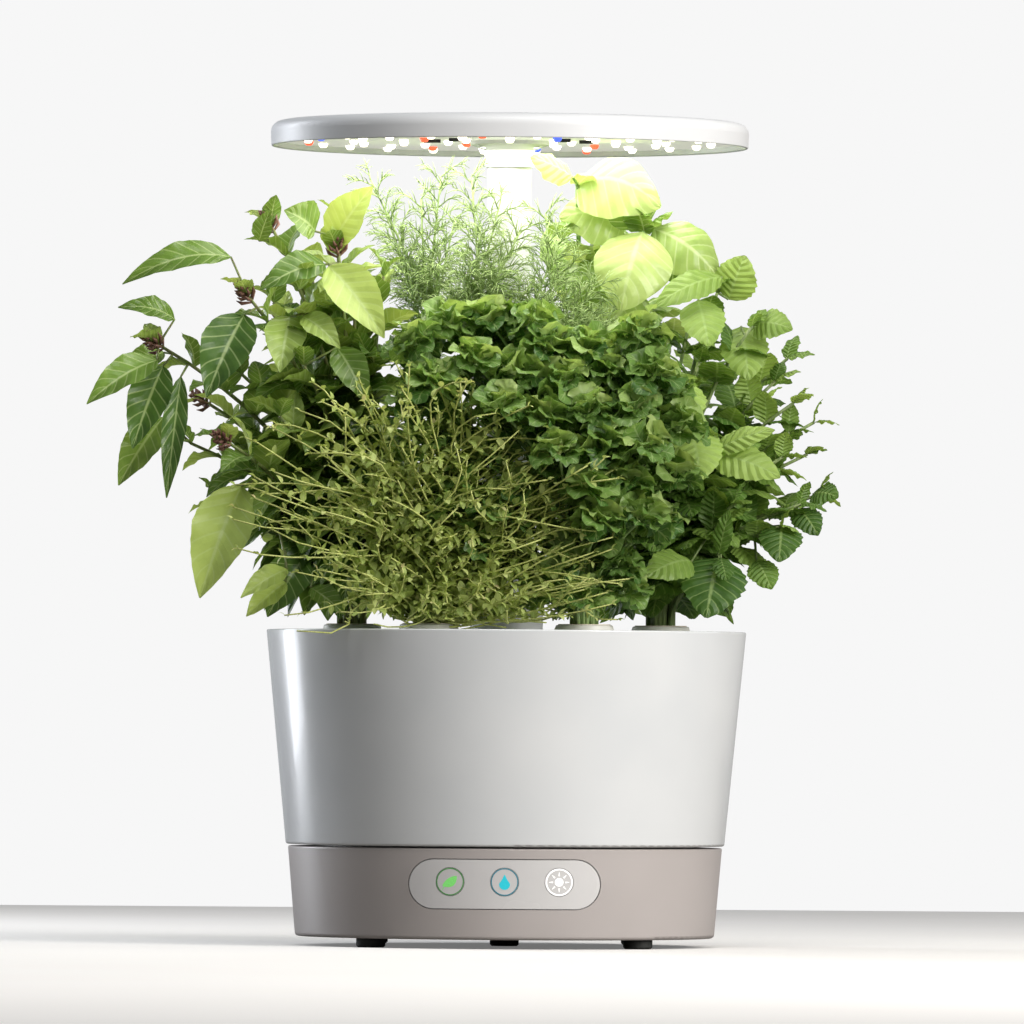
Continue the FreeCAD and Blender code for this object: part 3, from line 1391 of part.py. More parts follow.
MINT_LEAVES = (
    ((36, -5, 185), (45, -12, 209), 26, 2),
    ((49, -15, 170), (71, -28, 168), 22, 5),
    ((32, -15, 197), (-5, -35, 180), 20, 6),
    ((19, -20, 184), (25, -45, 158), 26, 3),
    ((43, -10, 170), (47, -30, 140), 28, 4),
    ((13, -40, 138), (9, -62, 113), 26, 3),
    ((28, -50, 100), (61, -62, 112), 15, 4),
    ((28, -48, 98), (64, -66, 86), 24, 5),
    ((15, -45, 112), (21, -70, 84), 32, 4),
    ((83, -5, 78), (97, -18, 76), 18, 3),
    ((75, -5, 70), (86, -20, 55), 18, 3),
    ((66, -25, 61), (64, -46, 40), 25, 4),
    ((52, -30, 41), (60, -48, 25), 18, 2),
    ((31, -45, 42), (24, -70, 9), 38, 6),
    ((16, -48, 40), (-9, -72, 31), 24, 5),
    ((31, -52, 44), (36, -64, 68), 11, 1),
    ((32, -52, 42), (35, -72, 29), 12, 1),
)

# Ends of stems as they stand from the front: x from the mast, and height above the feet
PARSLEY_ENDS = (
    (-51, 329), (-32, 340), (-10, 342), (12, 341), (20, 326), (42, 326), (72, 334), (-42, 307),
    (-18, 318), (6, 312), (31, 307), (56, 312), (80, 312), (-4, 293), (20, 288), (45, 291),
    (69, 293), (28, 269), (53, 272), (75, 272), (45, 250), (66, 253), (50, 231), (72, 233),
)
THYME_ENDS = (
    (-137, 260), (-126, 285), (-113, 301), (-94, 298), (-74, 302), (-58, 306), (-42, 295),
    (-28, 309), (-15, 313), (7, 306), (18, 293), (-4, 276), (42, 260), (50, 244), (28, 260),
    (37, 233), (50, 211), (47, 190), (20, 195), (1, 211), (-20, 196), (-42, 192), (-66, 197),
    (-88, 199), (-107, 211), (-123, 228), (-133, 241), (-96, 244), (-69, 255), (-42, 260),
    (-20, 244), (7, 238), (-58, 222), (-31, 217), (-85, 276), (-47, 279), (-110, 271),
)

# Dill: main stems as x, y and height above the feet, each with the ends of its own fronds
DILL_STEMS = (
    ((-43, 74, 172), (-43, 70, 230), (-44, 58, 290), (-45, 40, 350)),
    ((-40, 70, 172), (-36, 52, 230), (-30, 12, 285), (-25, -14, 320), (-15, -28, 345)),
    ((-45, 70, 172), (-44, 38, 232), (-34, -8, 280), (-20, -30, 305), (25, -30, 330)),
)
DILL_FRONDS = (
    ((-77, 30, 423), (-68, 42, 403), (-49, 18, 412), (-38, 30, 425), (-30, 46, 403),
     (-55, 10, 370), (-63, 24, 387), (-38, 8, 377)),
    ((-21, -22, 423), (-16, -36, 395), (-5, -28, 409), (6, -40, 392), (-5, -46, 370),
     (-21, -42, 377), (-30, -30, 352), (6, -44, 331), (12, -34, 362)),
    ((20, -26, 403), (28, -36, 389), (36, -28, 376), (47, -38, 362), (57, -30, 345),
     (64, -40, 334), (50, -48, 334), (36, -50, 340), (23, -46, 351), (28, -52, 329)),
)

# Leaf outlines: breadths at shares of the length, and how far the halves fold up
LEAF_FORMS = {
    "broad": (((0.0, 0.07), (0.22, 0.85), (0.5, 1.0), (0.8, 0.72), (1.0, 0.08)), -0.2),
    "ovate": (((0.0, 0.07), (0.25, 0.8), (0.52, 1.0), (0.82, 0.56), (1.0, 0.05)), 0.2),
    "mint": (((0.0, 0.12), (0.2, 0.84), (0.5, 1.0), (0.8, 0.68), (1.0, 0.1)), -0.1),
    "curled": (((0.0, 0.2), (0.55, 0.85), (1.0, 1.0)), 0.0),
    "tiny": (((0.0, 0.25), (0.45, 1.0), (1.0, 0.2)), 0.0),
}


def vary(seed):
    """Repeatable number from -1 to 1, different for each seed."""
    return math.sin(seed * 12.9898) * 43758.5453 % 1 * 2 - 1


def bezier(root, rise, tip, steps):
    """Stem line that starts straight up and then leans over to its tip."""
    control = root + Vector(0, 0, rise)
    points = []
    for step in range(steps + 1):
        t = step / steps
        points.append(root * (1 - t) ** 2 + control * (2 * t * (1 - t)) + tip * t ** 2)
    return points


def along(points, share):
    """Point and direction on a stem line, at a share of its stations."""
    place = min(share, STEM_END) * (len(points) - 1)
    index = int(place)
    step = points[index + 1] - points[index]
    return points[index] + step * (place - index), Vector(step).normalize()


def cross_unit(first, second):
    """Unit vector square to two others; X where they are in line."""
    product = first.cross(second)
    if product.Length < 1e-3:
        return Vector(1, 0, 0)
    return product.normalize()


def three_corners(along_stem):
    """Directions from a stem's middle to the three corners of its section."""
    across = cross_unit(along_stem, Vector(0.31, 0.95, 0.0))
    other = cross_unit(along_stem, across)
    corners = []
    for turn in range(3):
        angle = turn * math.pi * 2 / 3
        corners.append(across * math.cos(angle) + other * math.sin(angle))
    return corners


def stem(points, root_radius, tip_radius, upright_root=False):
    """Rings and convex pieces of a tapering three-sided stem."""
    corners = three_corners((points[-1] - points[0]).normalize())
    rings = []
    for index, point in enumerate(points):
        share = index / (len(points) - 1)
        radius = root_radius + (tip_radius - root_radius) * share
        section = three_corners(Vector(0, 0, 1)) if upright_root and index == 0 else corners
        rings.append([point + corner * radius for corner in section])
    sides = [corners[0] - corners[1], corners[1] - corners[2], corners[2] - corners[0]]
    pieces = []
    for low, high in zip(rings, rings[1:]):
        pieces.append((low + high, sides + [high[0] - low[0]]))
    return rings, pieces


def leaf(base, tip, side, width, arch, form):
    """Rings and convex pieces of a leaf that arches from its base to its tip."""
    stations, fold = LEAF_FORMS[form]
    run = tip - base
    upward = Vector(side).cross(run).normalize()
    drop = upward * LEAF_THICKNESS
    rings = []
    for share, breadth in stations:
        middle = base + run * share + upward * (arch * 4 * share * (1 - share))
        half = side * (width * breadth / 2)
        lift = upward * (fold * width * breadth / 2)
        right, left = middle + half + lift, middle - half + lift
        if fold:
            rings.append([right, middle, left, left - drop, middle - drop, right - drop])
        else:
            rings.append([right, left, left - drop, right - drop])
    pieces = []
    for low, high in zip(rings, rings[1:]):
        edges = [side, upward, high[0] - low[0], high[-1] - low[-1], high[1] - low[1]]
        pieces.append((low + high, edges))
    return rings, pieces


def patch(corners):
    """Faces over four corners: one where they are flat, otherwise two triangles."""
    first, second, third, fourth = corners
    normal = (second - first).cross(third - first)
    if normal.Length > 1e-6 and abs(normal.normalize().dot(fourth - first)) < 1e-5:
        loops = [corners]
    else:
        loops = [[first, second, third], [first, third, fourth]]
    return [Part.Face(Part.makePolygon(loop + [loop[0]])) for loop in loops]


def solid_from(rings):
    """Closed flat-faced solid through rings of corners."""
    count = len(rings[0])
    faces = []
    for end in (rings[0], rings[-1]):
        faces.append(Part.Face(Part.makePolygon(end + [end[0]])))
    for low, high in zip(rings, rings[1:]):
        for index in range(count):
            following = (index + 1) % count
            faces += patch([low[index], low[following], high[following], high[index]])
    shell = Part.makeShell(faces)
    shell.sewShape()
    solid = Part.makeSolid(shell)
    if solid.Volume < 0:
        solid.reverse()
    return solid


def box_of(points):
    """Low and high corners of the upright box around some points."""
    low = Vector(min(p.x for p in points), min(p.y for p in points), min(p.z for p in points))
    high = Vector(max(p.x for p in points), max(p.y for p in points), max(p.z for p in points))
    return low, high


def cells_of(low, high):
    """Keys of the cells that a box touches."""
    spans = []
    for first, last in ((low.x, high.x), (low.y, high.y), (low.z, high.z)):
        spans.append(range(int(first // CELL_SIZE), int(last // CELL_SIZE) + 1))
    return [(i, j, k) for i in spans[0] for j in spans[1] for k in spans[2]]


def apart(piece, other):
    """Whether some plane keeps the leaf clearance between two convex pieces."""
    points, edges = piece
    other_points, other_edges = other
    for first, second in combinations(edges + other_edges, 2):
        axis = first.cross(second)
        if axis.Length < 1e-4:
            continue
        axis.normalize()
        shades = [axis.dot(point) for point in points]
        other_shades = [axis.dot(point) for point in other_points]
        gap = max(min(shades) - max(other_shades), min(other_shades) - max(shades))
        if gap > LEAF_CLEARANCE:
            return True
    return False


def boxes_near(low, high, other_low, other_high):
    """Whether two boxes come closer than the leaf clearance."""
    near = LEAF_CLEARANCE
    if low.x > other_high.x + near or other_low.x > high.x + near:
        return False
    if low.y > other_high.y + near or other_low.y > high.y + near:
        return False
    return low.z <= other_high.z + near and other_low.z <= high.z + near


def take(room, owner, pieces):
    """Enter pieces as room that their owner fills."""
    for piece in pieces:
        low, high = box_of(piece[0])
        for key in cells_of(low, high):
            room.setdefault(key, []).append((owner, piece, low, high))


def is_free(room, owner, pieces, lowest):
    """Whether pieces stay clear of the other plants, the mast, the lid, the hood and the pods."""
    for piece in pieces:
        low, high = box_of(piece[0])
        if low.z < lowest or high.z > hood_bottom - LAMP_LEAF_GAP:
            return False
        for key in cells_of(low, high):
            for other_owner, other, other_low, other_high in room.get(key, ()):
                if other_owner == owner or not boxes_near(low, high, other_low, other_high):
                    continue
                if not apart(piece, other):
                    return False
    return True


def fixed_room():
    """Room that no plant may enter: the mast, and the fill lid's swing."""
    room = {}
    mast_edges = [Vector(0, 0, 1)]
    corners = []
    step = math.pi * 2 / MAST_ROOM_SIDES
    radius = (MAST_RADIUS + MAST_LEAF_GAP) / math.cos(step / 2)
    for index in range(MAST_ROOM_SIDES):
        x, y = radius * math.cos(index * step), radius * math.sin(index * step)
        corners += [Vector(x, y, deck_top), Vector(x, y, led_board_bottom)]
        mast_edges.append(Vector(-math.sin((index + 0.5) * step), math.cos((index + 0.5) * step), 0))
    take(room, "mast", [(corners, mast_edges)])
    side = LID_RADIUS + LID_SWING_MARGIN
    swing = FILL_HOLE_CENTRE + LID_RADIUS + LID_TAB_LENGTH - hinge_line + LID_SWING_MARGIN
    corners = []
    for x in (-side, side):
        for y in (hinge_line - swing / 4, hinge_line + swing):
            for z in (deck_top, hinge_height + swing):
                corners.append(Vector(x, y, z))
    take(room, "lid", [(corners, [Vector(1, 0, 0), Vector(0, 1, 0), Vector(0, 0, 1)])])
    return room


class Plant:
    """One plant, grown in the room that all plants share."""

    def __init__(self, name, pod, room):
        self.name = name
        self.pod = Vector(*pod_place(pod), sponge_top)
        self.room = room
        self.solids = []
        self.lines = []
        self.left_out = 0

    def add(self, members, lowest=label_top + LABEL_LEAF_GAP):
        """Grow leaves or stems that belong together, if all of them have free room."""
        pieces = [piece for member in members for piece in member[1]]
        if not is_free(self.room, self.name, pieces, lowest):
            self.left_out += 1
            return False
        take(self.room, self.name, pieces)
        self.solids += [solid_from(member[0]) for member in members]
        return True

    def root(self, index):
        """Where a stem leaves the sponge; the roots stand in a small spiral."""
        angle = index * GOLDEN_ANGLE
        reach = ROOT_SPREAD * math.sqrt((index % ROOTS_PER_TURN + 0.5) / ROOTS_PER_TURN)
        return self.pod + Vector(reach * math.cos(angle), reach * math.sin(angle), 0)

    def grow_stem(self, line, root_radius, tip_radius):
        """Grow a stem from the sponge and keep its line for the leaves."""
        grown = self.add([stem(line, root_radius, tip_radius, True)], sponge_top)
        if grown:
            self.lines.append(line)
        return grown

    def shoot(self, index, tip):
        """Grow a leaning stem; its tip moves back or forth where the room is taken."""
        radii, upright, steps = STEM_SIZES[self.name]
        root = self.root(index)
        rise = max(upright * (tip.z - root.z), LEAST_STEM_RISE)
        for shift in STEM_SHIFTS:
            line = bezier(root, rise, tip + Vector(0, shift, 0), steps)
            if self.grow_stem(line, *radii):
                return
        print(self.name, "stem", index, "left out")

    def petiole(self, base):
        """Thin stalk from the nearest place on the plant's stems to a leaf's base."""
        nearest = None
        for line in self.lines:
            for station in range(2, PETIOLE_STATIONS + 1):
                point = along(line, station / PETIOLE_STATIONS)[0]
                if nearest is None or (point - base).Length < (nearest - base).Length:
                    nearest = point
        return stem([nearest, base], PETIOLE_RADIUS, PETIOLE_RADIUS)

    def single_leaf(self, base, tip, width, arch, form):
        """Grow a leaf between two places, with its blade towards the front and the lamp."""
        base, tip = self.pod + Vector(*base), self.pod + Vector(*tip)
        side = cross_unit(tip - base, Vector(0, -0.85, 0.5))
        if not self.add([self.petiole(base), leaf(base, tip, side, width, arch, form)]):
            print(self.name, "leaf at", base, "left out")

    def paired_leaves(self, line, index):
        """Grow opposite leaves along a stem, each pair square to the one below."""
        pairs, first, length, width, form, turn_step = LEAF_PAIRS[self.name]
        twist = turn_step * index
        for pair in range(pairs):
            share = pair / (pairs - 1)
            base, heading = along(line, first + (1 - first) * share)
            across = cross_unit(heading, Vector(0, 0, 1))
            other = cross_unit(across, heading)
            for half in range(2):
                seed = twist + pair * 2.7 + half * 1.3
                turn = math.radians(twist + 90 * pair + 180 * half + 15 * vary(seed))
                lift = math.radians(75 * share - 25 + 10 * vary(seed + 0.4))
                outward = across * math.cos(turn) + other * math.sin(turn)
                reach = outward * math.cos(lift) + heading * math.sin(lift)
                reach.z -= 0.35 * (1 - share)
                reach.normalize()
                size = (1 - 0.6 * share * share) * (1 + 0.12 * vary(seed + 0.8))
                flat = cross_unit(reach, Vector(0, 0, 1))
                roll = math.radians(25 * vary(seed + 1.1))
                side = flat * math.cos(roll) + flat.cross(reach) * math.sin(roll)
                tip = base + reach * (length * size)
                self.add([leaf(base, tip, side, width * size, 0.12 * length * size, form)])


def leaf_ball(plant, centre, seed):
    """Grow curled leaflets that spread from the end of a stalk, up and outwards."""
    count = PARSLEY_BALL_LEAFLETS
    for index in range(count):
        turn = index * GOLDEN_ANGLE + seed
        height = 1 - 1.5 * (index + 0.5) / count
        level = math.sqrt(1 - height * height)
        reach = Vector(level * math.cos(turn), level * math.sin(turn), height)
        size = PARSLEY_LEAFLET_LENGTH * (1 + 0.2 * vary(seed + index))
        side = cross_unit(reach, Vector(vary(seed + 0.3 * index), vary(seed + 0.7 * index), 1))
        tip = centre + reach * size
        plant.add([leaf(centre, tip, side, 0.95 * size, 0.1 * size, "curled")])


def frond(plant, start, tip, needles, seed):
    """Grow a feathery frond: a rib with fine needles on all sides."""
    middle = (start + tip) * 0.5 + Vector(0, 0, 0.12 * (tip - start).Length)
    rib = [start, middle, tip]
    if not plant.add([stem(rib, DILL_RIB_RADIUS, DILL_NEEDLE_RADIUS)]):
        return
    for index in range(needles):
        share = 0.3 + 0.7 * index / (needles - 1)
        base, heading = along(rib, share)
        across = cross_unit(heading, Vector(0, 0, 1))
        other = cross_unit(across, heading)
        turn = index * GOLDEN_ANGLE + seed
        outward = across * math.cos(turn) + other * math.sin(turn)
        reach = (outward + heading * 0.9).normalize() * DILL_NEEDLE_LENGTH * (1.3 - 0.5 * share)
        plant.add([stem([base, base + reach], DILL_NEEDLE_RADIUS, DILL_NEEDLE_RADIUS / 2)])


def parsley_end(x, height):
    """Parsley bulges to the front in the middle of its height."""
    middle = PARSLEY_FRONT_HEIGHT
    back = PARSLEY_TOP_SETBACK * max(0, (height - middle) / (PARSLEY_TOP_HEIGHT - middle)) ** 2
    return Vector(x, back - PARSLEY_FRONT + 6 * vary(x + height), height)


def thyme_end(x, height):
    """Thyme spills over the front of the rim at different depths."""
    return Vector(x, THYME_DEPTH_SPREAD * vary(x - height) - THYME_FRONT, height)


def grow_plants():
    """The six plants: first all stems, then the single leaves, then the leaves that fill up."""
    room = fixed_room()
    names = ("mint", "basil", "dill", "thai_basil", "thyme", "parsley")
    plants = {name: Plant(name, pod, room) for pod, name in enumerate(names)}
    mint, basil, dill, thai_basil, thyme, parsley = plants.values()
    for plant, tips in (
        (thai_basil, THAI_BASIL_SHOOTS),
        (basil, BASIL_SHOOTS),
        (mint, MINT_SHOOTS),
    ):
        for index, tip in enumerate(tips):
            plant.shoot(index, plant.pod + Vector(*tip))
    for line in DILL_STEMS:
        dill.grow_stem([Vector(*point) for point in line], *DILL_STEM_RADII)
    for depth in PARSLEY_LAYERS:
        for index, end in enumerate(PARSLEY_ENDS):
            parsley.shoot(index, parsley_end(*end) + Vector(0, depth, -depth / 4))
    for reach, depth in THYME_LAYERS:
        for index, end in enumerate(THYME_ENDS):
            tip = thyme.pod + (thyme_end(*end) - thyme.pod) * reach + Vector(0, depth, 0)
            thyme.shoot(index, tip)
    for plant, leaves in (
        (thai_basil, THAI_BASIL_LEAVES),
        (basil, BASIL_LEAVES),
        (mint, MINT_LEAVES),
    ):
        form = LEAF_PAIRS[plant.name][4]
        for base, tip, width, arch in leaves:
            plant.single_leaf(base, tip, width, arch, form)
    for line, ends in zip(list(dill.lines), DILL_FRONDS):
        for index, end in enumerate(ends):
            start = along(line, STEM_END - 0.12 * (index % 3))[0]
            frond(dill, start, Vector(*end), DILL_FROND_NEEDLES, index)
    for index, line in enumerate(parsley.lines):
        leaf_ball(parsley, line[-1], index * 1.7)
    for plant in (thai_basil, basil, mint, thyme):
        for index, line in enumerate(plant.lines):
            plant.paired_leaves(line, index)
    for plant in plants.values():
        print(plant.name, len(plant.solids), "members,", plant.left_out, "left out")
    return {"plant_" + name: group(plant.solids) for name, plant in plants.items()}


def save(name, shape):
    """Write one sub-part."""
    shape.exportStep("parts/" + name + ".step")


def hardware():
    """Every sub-part but the plants."""
    shapes = {
        "base_shell": base_shell(),
        "base_plate": base_plate(),
        "base_screws": base_screws(),
        "rubber_feet": rubber_feet(),
        "control_panel": control_panel(),
        "food_button": button(-ICON_SPACING),
        "light_button": button(ICON_SPACING),
        "water_indicator": water_indicator(),
        "control_board": control_board(),
        "tact_switches": tact_switches(),
        "indicator_leds": indicator_leds(),
        "board_screws": board_screws(),
        "dc_jack": dc_jack(),
        "base_connector": base_connector(),
        "level_sensor": level_sensor(),
        "base_wiring": base_wiring(),
        "bowl": bowl(),
        "bowl_connector": bowl_connector(),
        "pump_lead": pump_lead(),
        "pump_housing": pump_housing(),
        "pump_cover": pump_cover(),
        "intake_filter": intake_filter(),
        "impeller_pin": impeller_pin(),
        "impeller": impeller(),
        "riser_pipe": riser_pipe(),
        "water_manifold": water_manifold(),
        "float_guide": float_guide(),
        "level_float": level_float(),
        "grow_deck": grow_deck(),
        "fill_lid": fill_lid(),
        "lid_pin": lid_pin(),
        "grow_sponges": grow_sponges(),
        "pod_labels": pod_labels(),
        "mast_socket": mast_socket(),
        "mast_tube": mast_tube(),
        "mast_collar": mast_collar(),
        "friction_bush": friction_bush(),
        "mast_plug": mast_plug(),
        "lamp_lead": lamp_lead(),
        "mast_tube_upper": mast_tube_upper(),
        "hood_hub": hood_hub(),
        "hood_screws": hood_screws(),
        "hood_shell": hood_shell(),
        "led_board": led_board(),
        "board_drivers": board_drivers(),
    }
    for index in range(POD_COUNT):
        shapes["grow_basket_" + str(index + 1)] = grow_basket(index)
    for kind in ("white", "red", "blue"):
        shapes["leds_" + kind] = leds(kind)
    return shapes


os.makedirs("parts", exist_ok=True)
for name, shape in {**hardware(), **grow_plants()}.items():
    save(name, shape)
    print(name, len(shape.Solids), "solids", round(shape.Volume), "mm3", shape.isValid())
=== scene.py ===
# %% [markdown]
# # A countertop water garden
# A round plastic garden: a base with a control panel, a water bowl, six herbs in pods, and a light
# hood on a telescoping mast. The hard parts come finished in shape from the CAD model. This lesson
# gives them their finishes, prints the symbols on the panel, grows the herbs leaf by leaf and
# lights the whole.

# %% Load the frame and keep its box
import json
import math
import bpy
import numpy as np
from mathutils import Matrix, Vector

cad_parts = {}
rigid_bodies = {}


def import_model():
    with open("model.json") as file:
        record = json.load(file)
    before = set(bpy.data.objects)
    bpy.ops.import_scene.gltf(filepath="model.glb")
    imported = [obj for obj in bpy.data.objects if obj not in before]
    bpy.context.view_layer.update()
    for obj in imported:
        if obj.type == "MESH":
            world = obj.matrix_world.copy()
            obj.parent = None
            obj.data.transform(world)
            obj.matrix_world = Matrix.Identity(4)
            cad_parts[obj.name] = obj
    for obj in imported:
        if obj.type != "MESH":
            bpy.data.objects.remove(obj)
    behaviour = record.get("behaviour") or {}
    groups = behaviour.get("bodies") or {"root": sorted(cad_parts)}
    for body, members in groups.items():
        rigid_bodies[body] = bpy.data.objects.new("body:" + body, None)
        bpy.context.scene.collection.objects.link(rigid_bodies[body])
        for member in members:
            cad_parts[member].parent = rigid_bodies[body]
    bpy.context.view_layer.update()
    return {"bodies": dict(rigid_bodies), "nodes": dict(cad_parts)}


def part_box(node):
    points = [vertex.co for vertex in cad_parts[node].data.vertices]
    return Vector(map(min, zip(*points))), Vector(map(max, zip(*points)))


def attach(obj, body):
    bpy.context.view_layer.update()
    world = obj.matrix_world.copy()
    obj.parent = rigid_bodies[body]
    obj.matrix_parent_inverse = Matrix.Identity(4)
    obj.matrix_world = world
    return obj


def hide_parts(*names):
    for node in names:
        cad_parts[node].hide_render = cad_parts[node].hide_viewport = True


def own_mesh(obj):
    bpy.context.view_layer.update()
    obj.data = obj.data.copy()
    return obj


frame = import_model()
MM = 0.001

# %% [markdown]
# ## Colours and nodes
# Every finish is a small node tree around one shader. Colours are written as sRGB hex values, as a
# paint chart gives them, and one function turns them into the linear numbers that a shader wants.
# One more function adds a node, sets it and links it, so that a material reads like a recipe.

# %% Helpers for colours, node trees and objects
def linear(code):
    """A hex colour as the linear colour of a shader socket."""
    parts = [int(code[start:start + 2], 16) / 255 for start in (1, 3, 5)]
    parts = [part / 12.92 if part <= 0.04045 else ((part + 0.055) / 1.055) ** 2.4 for part in parts]
    return (*parts, 1.0)


def join(tree, node, inputs):
    """Fill a node's sockets: another node's output is linked, a plain value is written in."""
    for socket, source in inputs.items():
        if isinstance(source, bpy.types.NodeSocket):
            tree.links.new(source, node.inputs[socket])
        else:
            node.inputs[socket].default_value = source


def add(tree, kind, inputs=None, stops=(), **settings):
    """Add a shader node with its settings, its inputs and, on a ramp, its (place, hex) stops."""
    node = tree.nodes.new("ShaderNode" + kind)
    for name, value in settings.items():
        setattr(node, name, value)
    join(tree, node, inputs or {})
    if stops:
        elements = node.color_ramp.elements
        while len(elements) < len(stops):
            elements.new(0.5)
        for element, (place, code) in zip(elements, stops):
            element.position = place
            element.color = linear(code)
    return node


def new_material(name, **shader_values):
    """A material with one Principled shader; returns the material, its tree and the shader."""
    material = bpy.data.materials.new(name)
    material.use_nodes = True
    tree = material.node_tree
    shader = tree.nodes["Principled BSDF"]
    join(tree, shader, {socket.replace("_", " "): value for socket, value in shader_values.items()})
    return material, tree, shader


# A noise seldom leaves this range, so two colours at its ends are both seen
NOISE_LOW = 0.3
NOISE_HIGH = 0.7


def paint(tree, shader, source, stops, strength, relief_mm, height=None, invert=False):
    """Colour a shader by one number, and raise its surface by the same number or by another."""
    tint = add(tree, "ValToRGB", {"Fac": source}, stops)
    height = source if height is None else height
    bump = add(tree, "Bump", {"Height": height, "Strength": strength, "Distance": relief_mm * MM},
               invert=invert)
    join(tree, shader, {"Base Color": tint.outputs["Color"], "Normal": bump.outputs["Normal"]})


def show(name, data):
    """Put a mesh, a lamp or a camera into the scene as an object."""
    shown = bpy.data.objects.new(name, data)
    bpy.context.scene.collection.objects.link(shown)
    return shown


print("helpers ready")

# %% [markdown]
# ## Moulded plastic
# The bowl, hood, deck and mast are glossy white ABS, moulded in polished steel. The base is the
# same plastic in a warm grey with a finer, spark-eroded matte. Such a surface isn't flat: it has a
# faint grain, a slow waviness from cooling, and a gloss that wanders a little. A noise at the
# grain's size feeds the bump, and a slow one the colour and the roughness. That is cheaper than a
# texture and has no seams.

# %% Plastics
WAVES_PER_METRE = 14.0  # the slow waviness, about 71 mm from wave to wave
GLOSS_WANDER = 0.03
GRAIN_STRENGTH = 0.35
DUST_PER_METRE = 900.0  # dust on rubber, about 1.1 mm from speck to speck
TRACK_SCALE = 90.0  # copper tracks 2.8 mm apart
SCREEN_PER_METRE = 1500.0  # the mesh of a printing screen, 0.67 mm, coarser than a real one


def moulded_plastic(name, colours, roughness, grain_mm, relief_mm, ior=1.5, coat=0.0):
    """Injection-moulded plastic: two near colours, a wandering gloss and a fine grain."""
    material, tree, shader = new_material(name, IOR=ior, Coat_Weight=coat)
    place = add(tree, "TexCoord").outputs["Object"]
    slow = add(tree, "TexNoise", {"Vector": place, "Scale": WAVES_PER_METRE, "Detail": 2.0})
    slow = slow.outputs["Fac"]
    gloss = add(tree, "MapRange", {"Value": slow, "From Min": NOISE_LOW, "From Max": NOISE_HIGH,
                                   "To Min": roughness - GLOSS_WANDER,
                                   "To Max": roughness + GLOSS_WANDER})
    grain = add(tree, "TexNoise", {"Vector": place, "Scale": 1 / (grain_mm * MM), "Detail": 2.0})
    paint(tree, shader, slow, [(NOISE_LOW, colours[0]), (NOISE_HIGH, colours[1])],
          GRAIN_STRENGTH, relief_mm, grain.outputs["Fac"])
    join(tree, shader, {"Roughness": gloss.outputs["Result"]})
    return material


def rubber(name, colour, lighter):
    """Moulded rubber or foam rubber: dark, dull, with a dusty grain."""
    material, tree, shader = new_material(name, IOR=1.52, Roughness=0.72)
    place = add(tree, "TexCoord").outputs["Object"]
    dust = add(tree, "TexNoise", {"Vector": place, "Scale": DUST_PER_METRE, "Detail": 4.0})
    paint(tree, shader, dust.outputs["Fac"], [(0.35, colour), (0.75, lighter)], 0.5, 0.05)
    return material


def machined_metal(name, colour, roughness, lines_mm):
    """Turned or drawn metal with fine tool marks; a metal keeps the default IOR."""
    material, tree, shader = new_material(name, Metallic=1.0, Roughness=roughness)
    place = add(tree, "TexCoord").outputs["Object"]
    marks = add(tree, "TexWave", {"Vector": place, "Scale": 1 / (lines_mm * MM) / 20,
                                  "Distortion": 1.5}, bands_direction="Z")
    paint(tree, shader, marks.outputs["Fac"], [(0.0, colour[0]), (1.0, colour[1])], 0.2, 0.02)
    return material


def porous(name, dark, light, cell_mm, roughness=0.95):
    """Peat, paper pulp or open foam: crumbs and pits between two colours."""
    material, tree, shader = new_material(name, IOR=1.45, Roughness=roughness)
    place = add(tree, "TexCoord").outputs["Object"]
    crumbs = add(tree, "TexVoronoi", {"Vector": place, "Scale": 1 / (cell_mm * MM)})
    paint(tree, shader, crumbs.outputs["Distance"], [(0.1, light), (0.75, dark)], 0.8,
          0.4 * cell_mm, invert=True)
    return material


def circuit_laminate(name, mask, copper):
    """Glass-fibre board under green solder mask, with the copper tracks showing through."""
    material, tree, shader = new_material(name, IOR=1.55, Roughness=0.35)
    place = add(tree, "TexCoord").outputs["Object"]
    tracks = add(tree, "TexBrick", {"Vector": place, "Scale": TRACK_SCALE, "Mortar Size": 0.03,
                                    "Color1": linear(mask), "Color2": linear(mask),
                                    "Mortar": linear(copper)})
    join(tree, shader, {"Base Color": tracks.outputs["Color"]})
    return material


white_abs = moulded_plastic("glossy_white_abs", ("#d9dde0", "#e2e5e7"), 0.24, 0.35, 0.010, coat=0.15)
hood_abs = moulded_plastic("satin_white_abs", ("#dcdfe2", "#e4e6e8"), 0.38, 0.35, 0.012)
grey_abs = moulded_plastic("spark_eroded_warm_grey_abs", ("#b4aeac", "#bcb6b4"), 0.36, 0.4, 0.02)
panel_abs = moulded_plastic("polished_light_grey_polycarbonate", ("#d6d5d6", "#dcdcdc"), 0.26, 0.5,
                            0.004, ior=1.58)
plate_pp = moulded_plastic("matte_black_polypropylene", ("#26282a", "#2f3133"), 0.55, 0.5, 0.03)
black_nylon = moulded_plastic("black_nylon", ("#141516", "#1d1e20"), 0.45, 0.4, 0.02)
pump_abs = moulded_plastic("matte_charcoal_abs", ("#1f2022", "#2a2b2d"), 0.5, 0.5, 0.02)
ivory_pom = moulded_plastic("ivory_acetal", ("#cfcdc4", "#d8d6ce"), 0.4, 0.5, 0.01)
basket_pp = moulded_plastic("translucent_white_polypropylene", ("#cfcfca", "#dcdcd8"), 0.42, 0.6, 0.02)
float_pe = moulded_plastic("orange_polyethylene_foam", ("#d98a2b", "#e0983c"), 0.7, 0.8, 0.08)
foot_rubber = rubber("black_moulded_rubber", "#1d1f1e", "#2c2e2d")
wire_rubber = rubber("black_wire_sleeve", "#18191a", "#242526")
grey_sleeve = rubber("grey_wire_sleeve", "#7c7e80", "#8e9092")
steel = machined_metal("zinc_plated_steel", ("#b9bbbd", "#d0d2d4"), 0.3, 0.25)
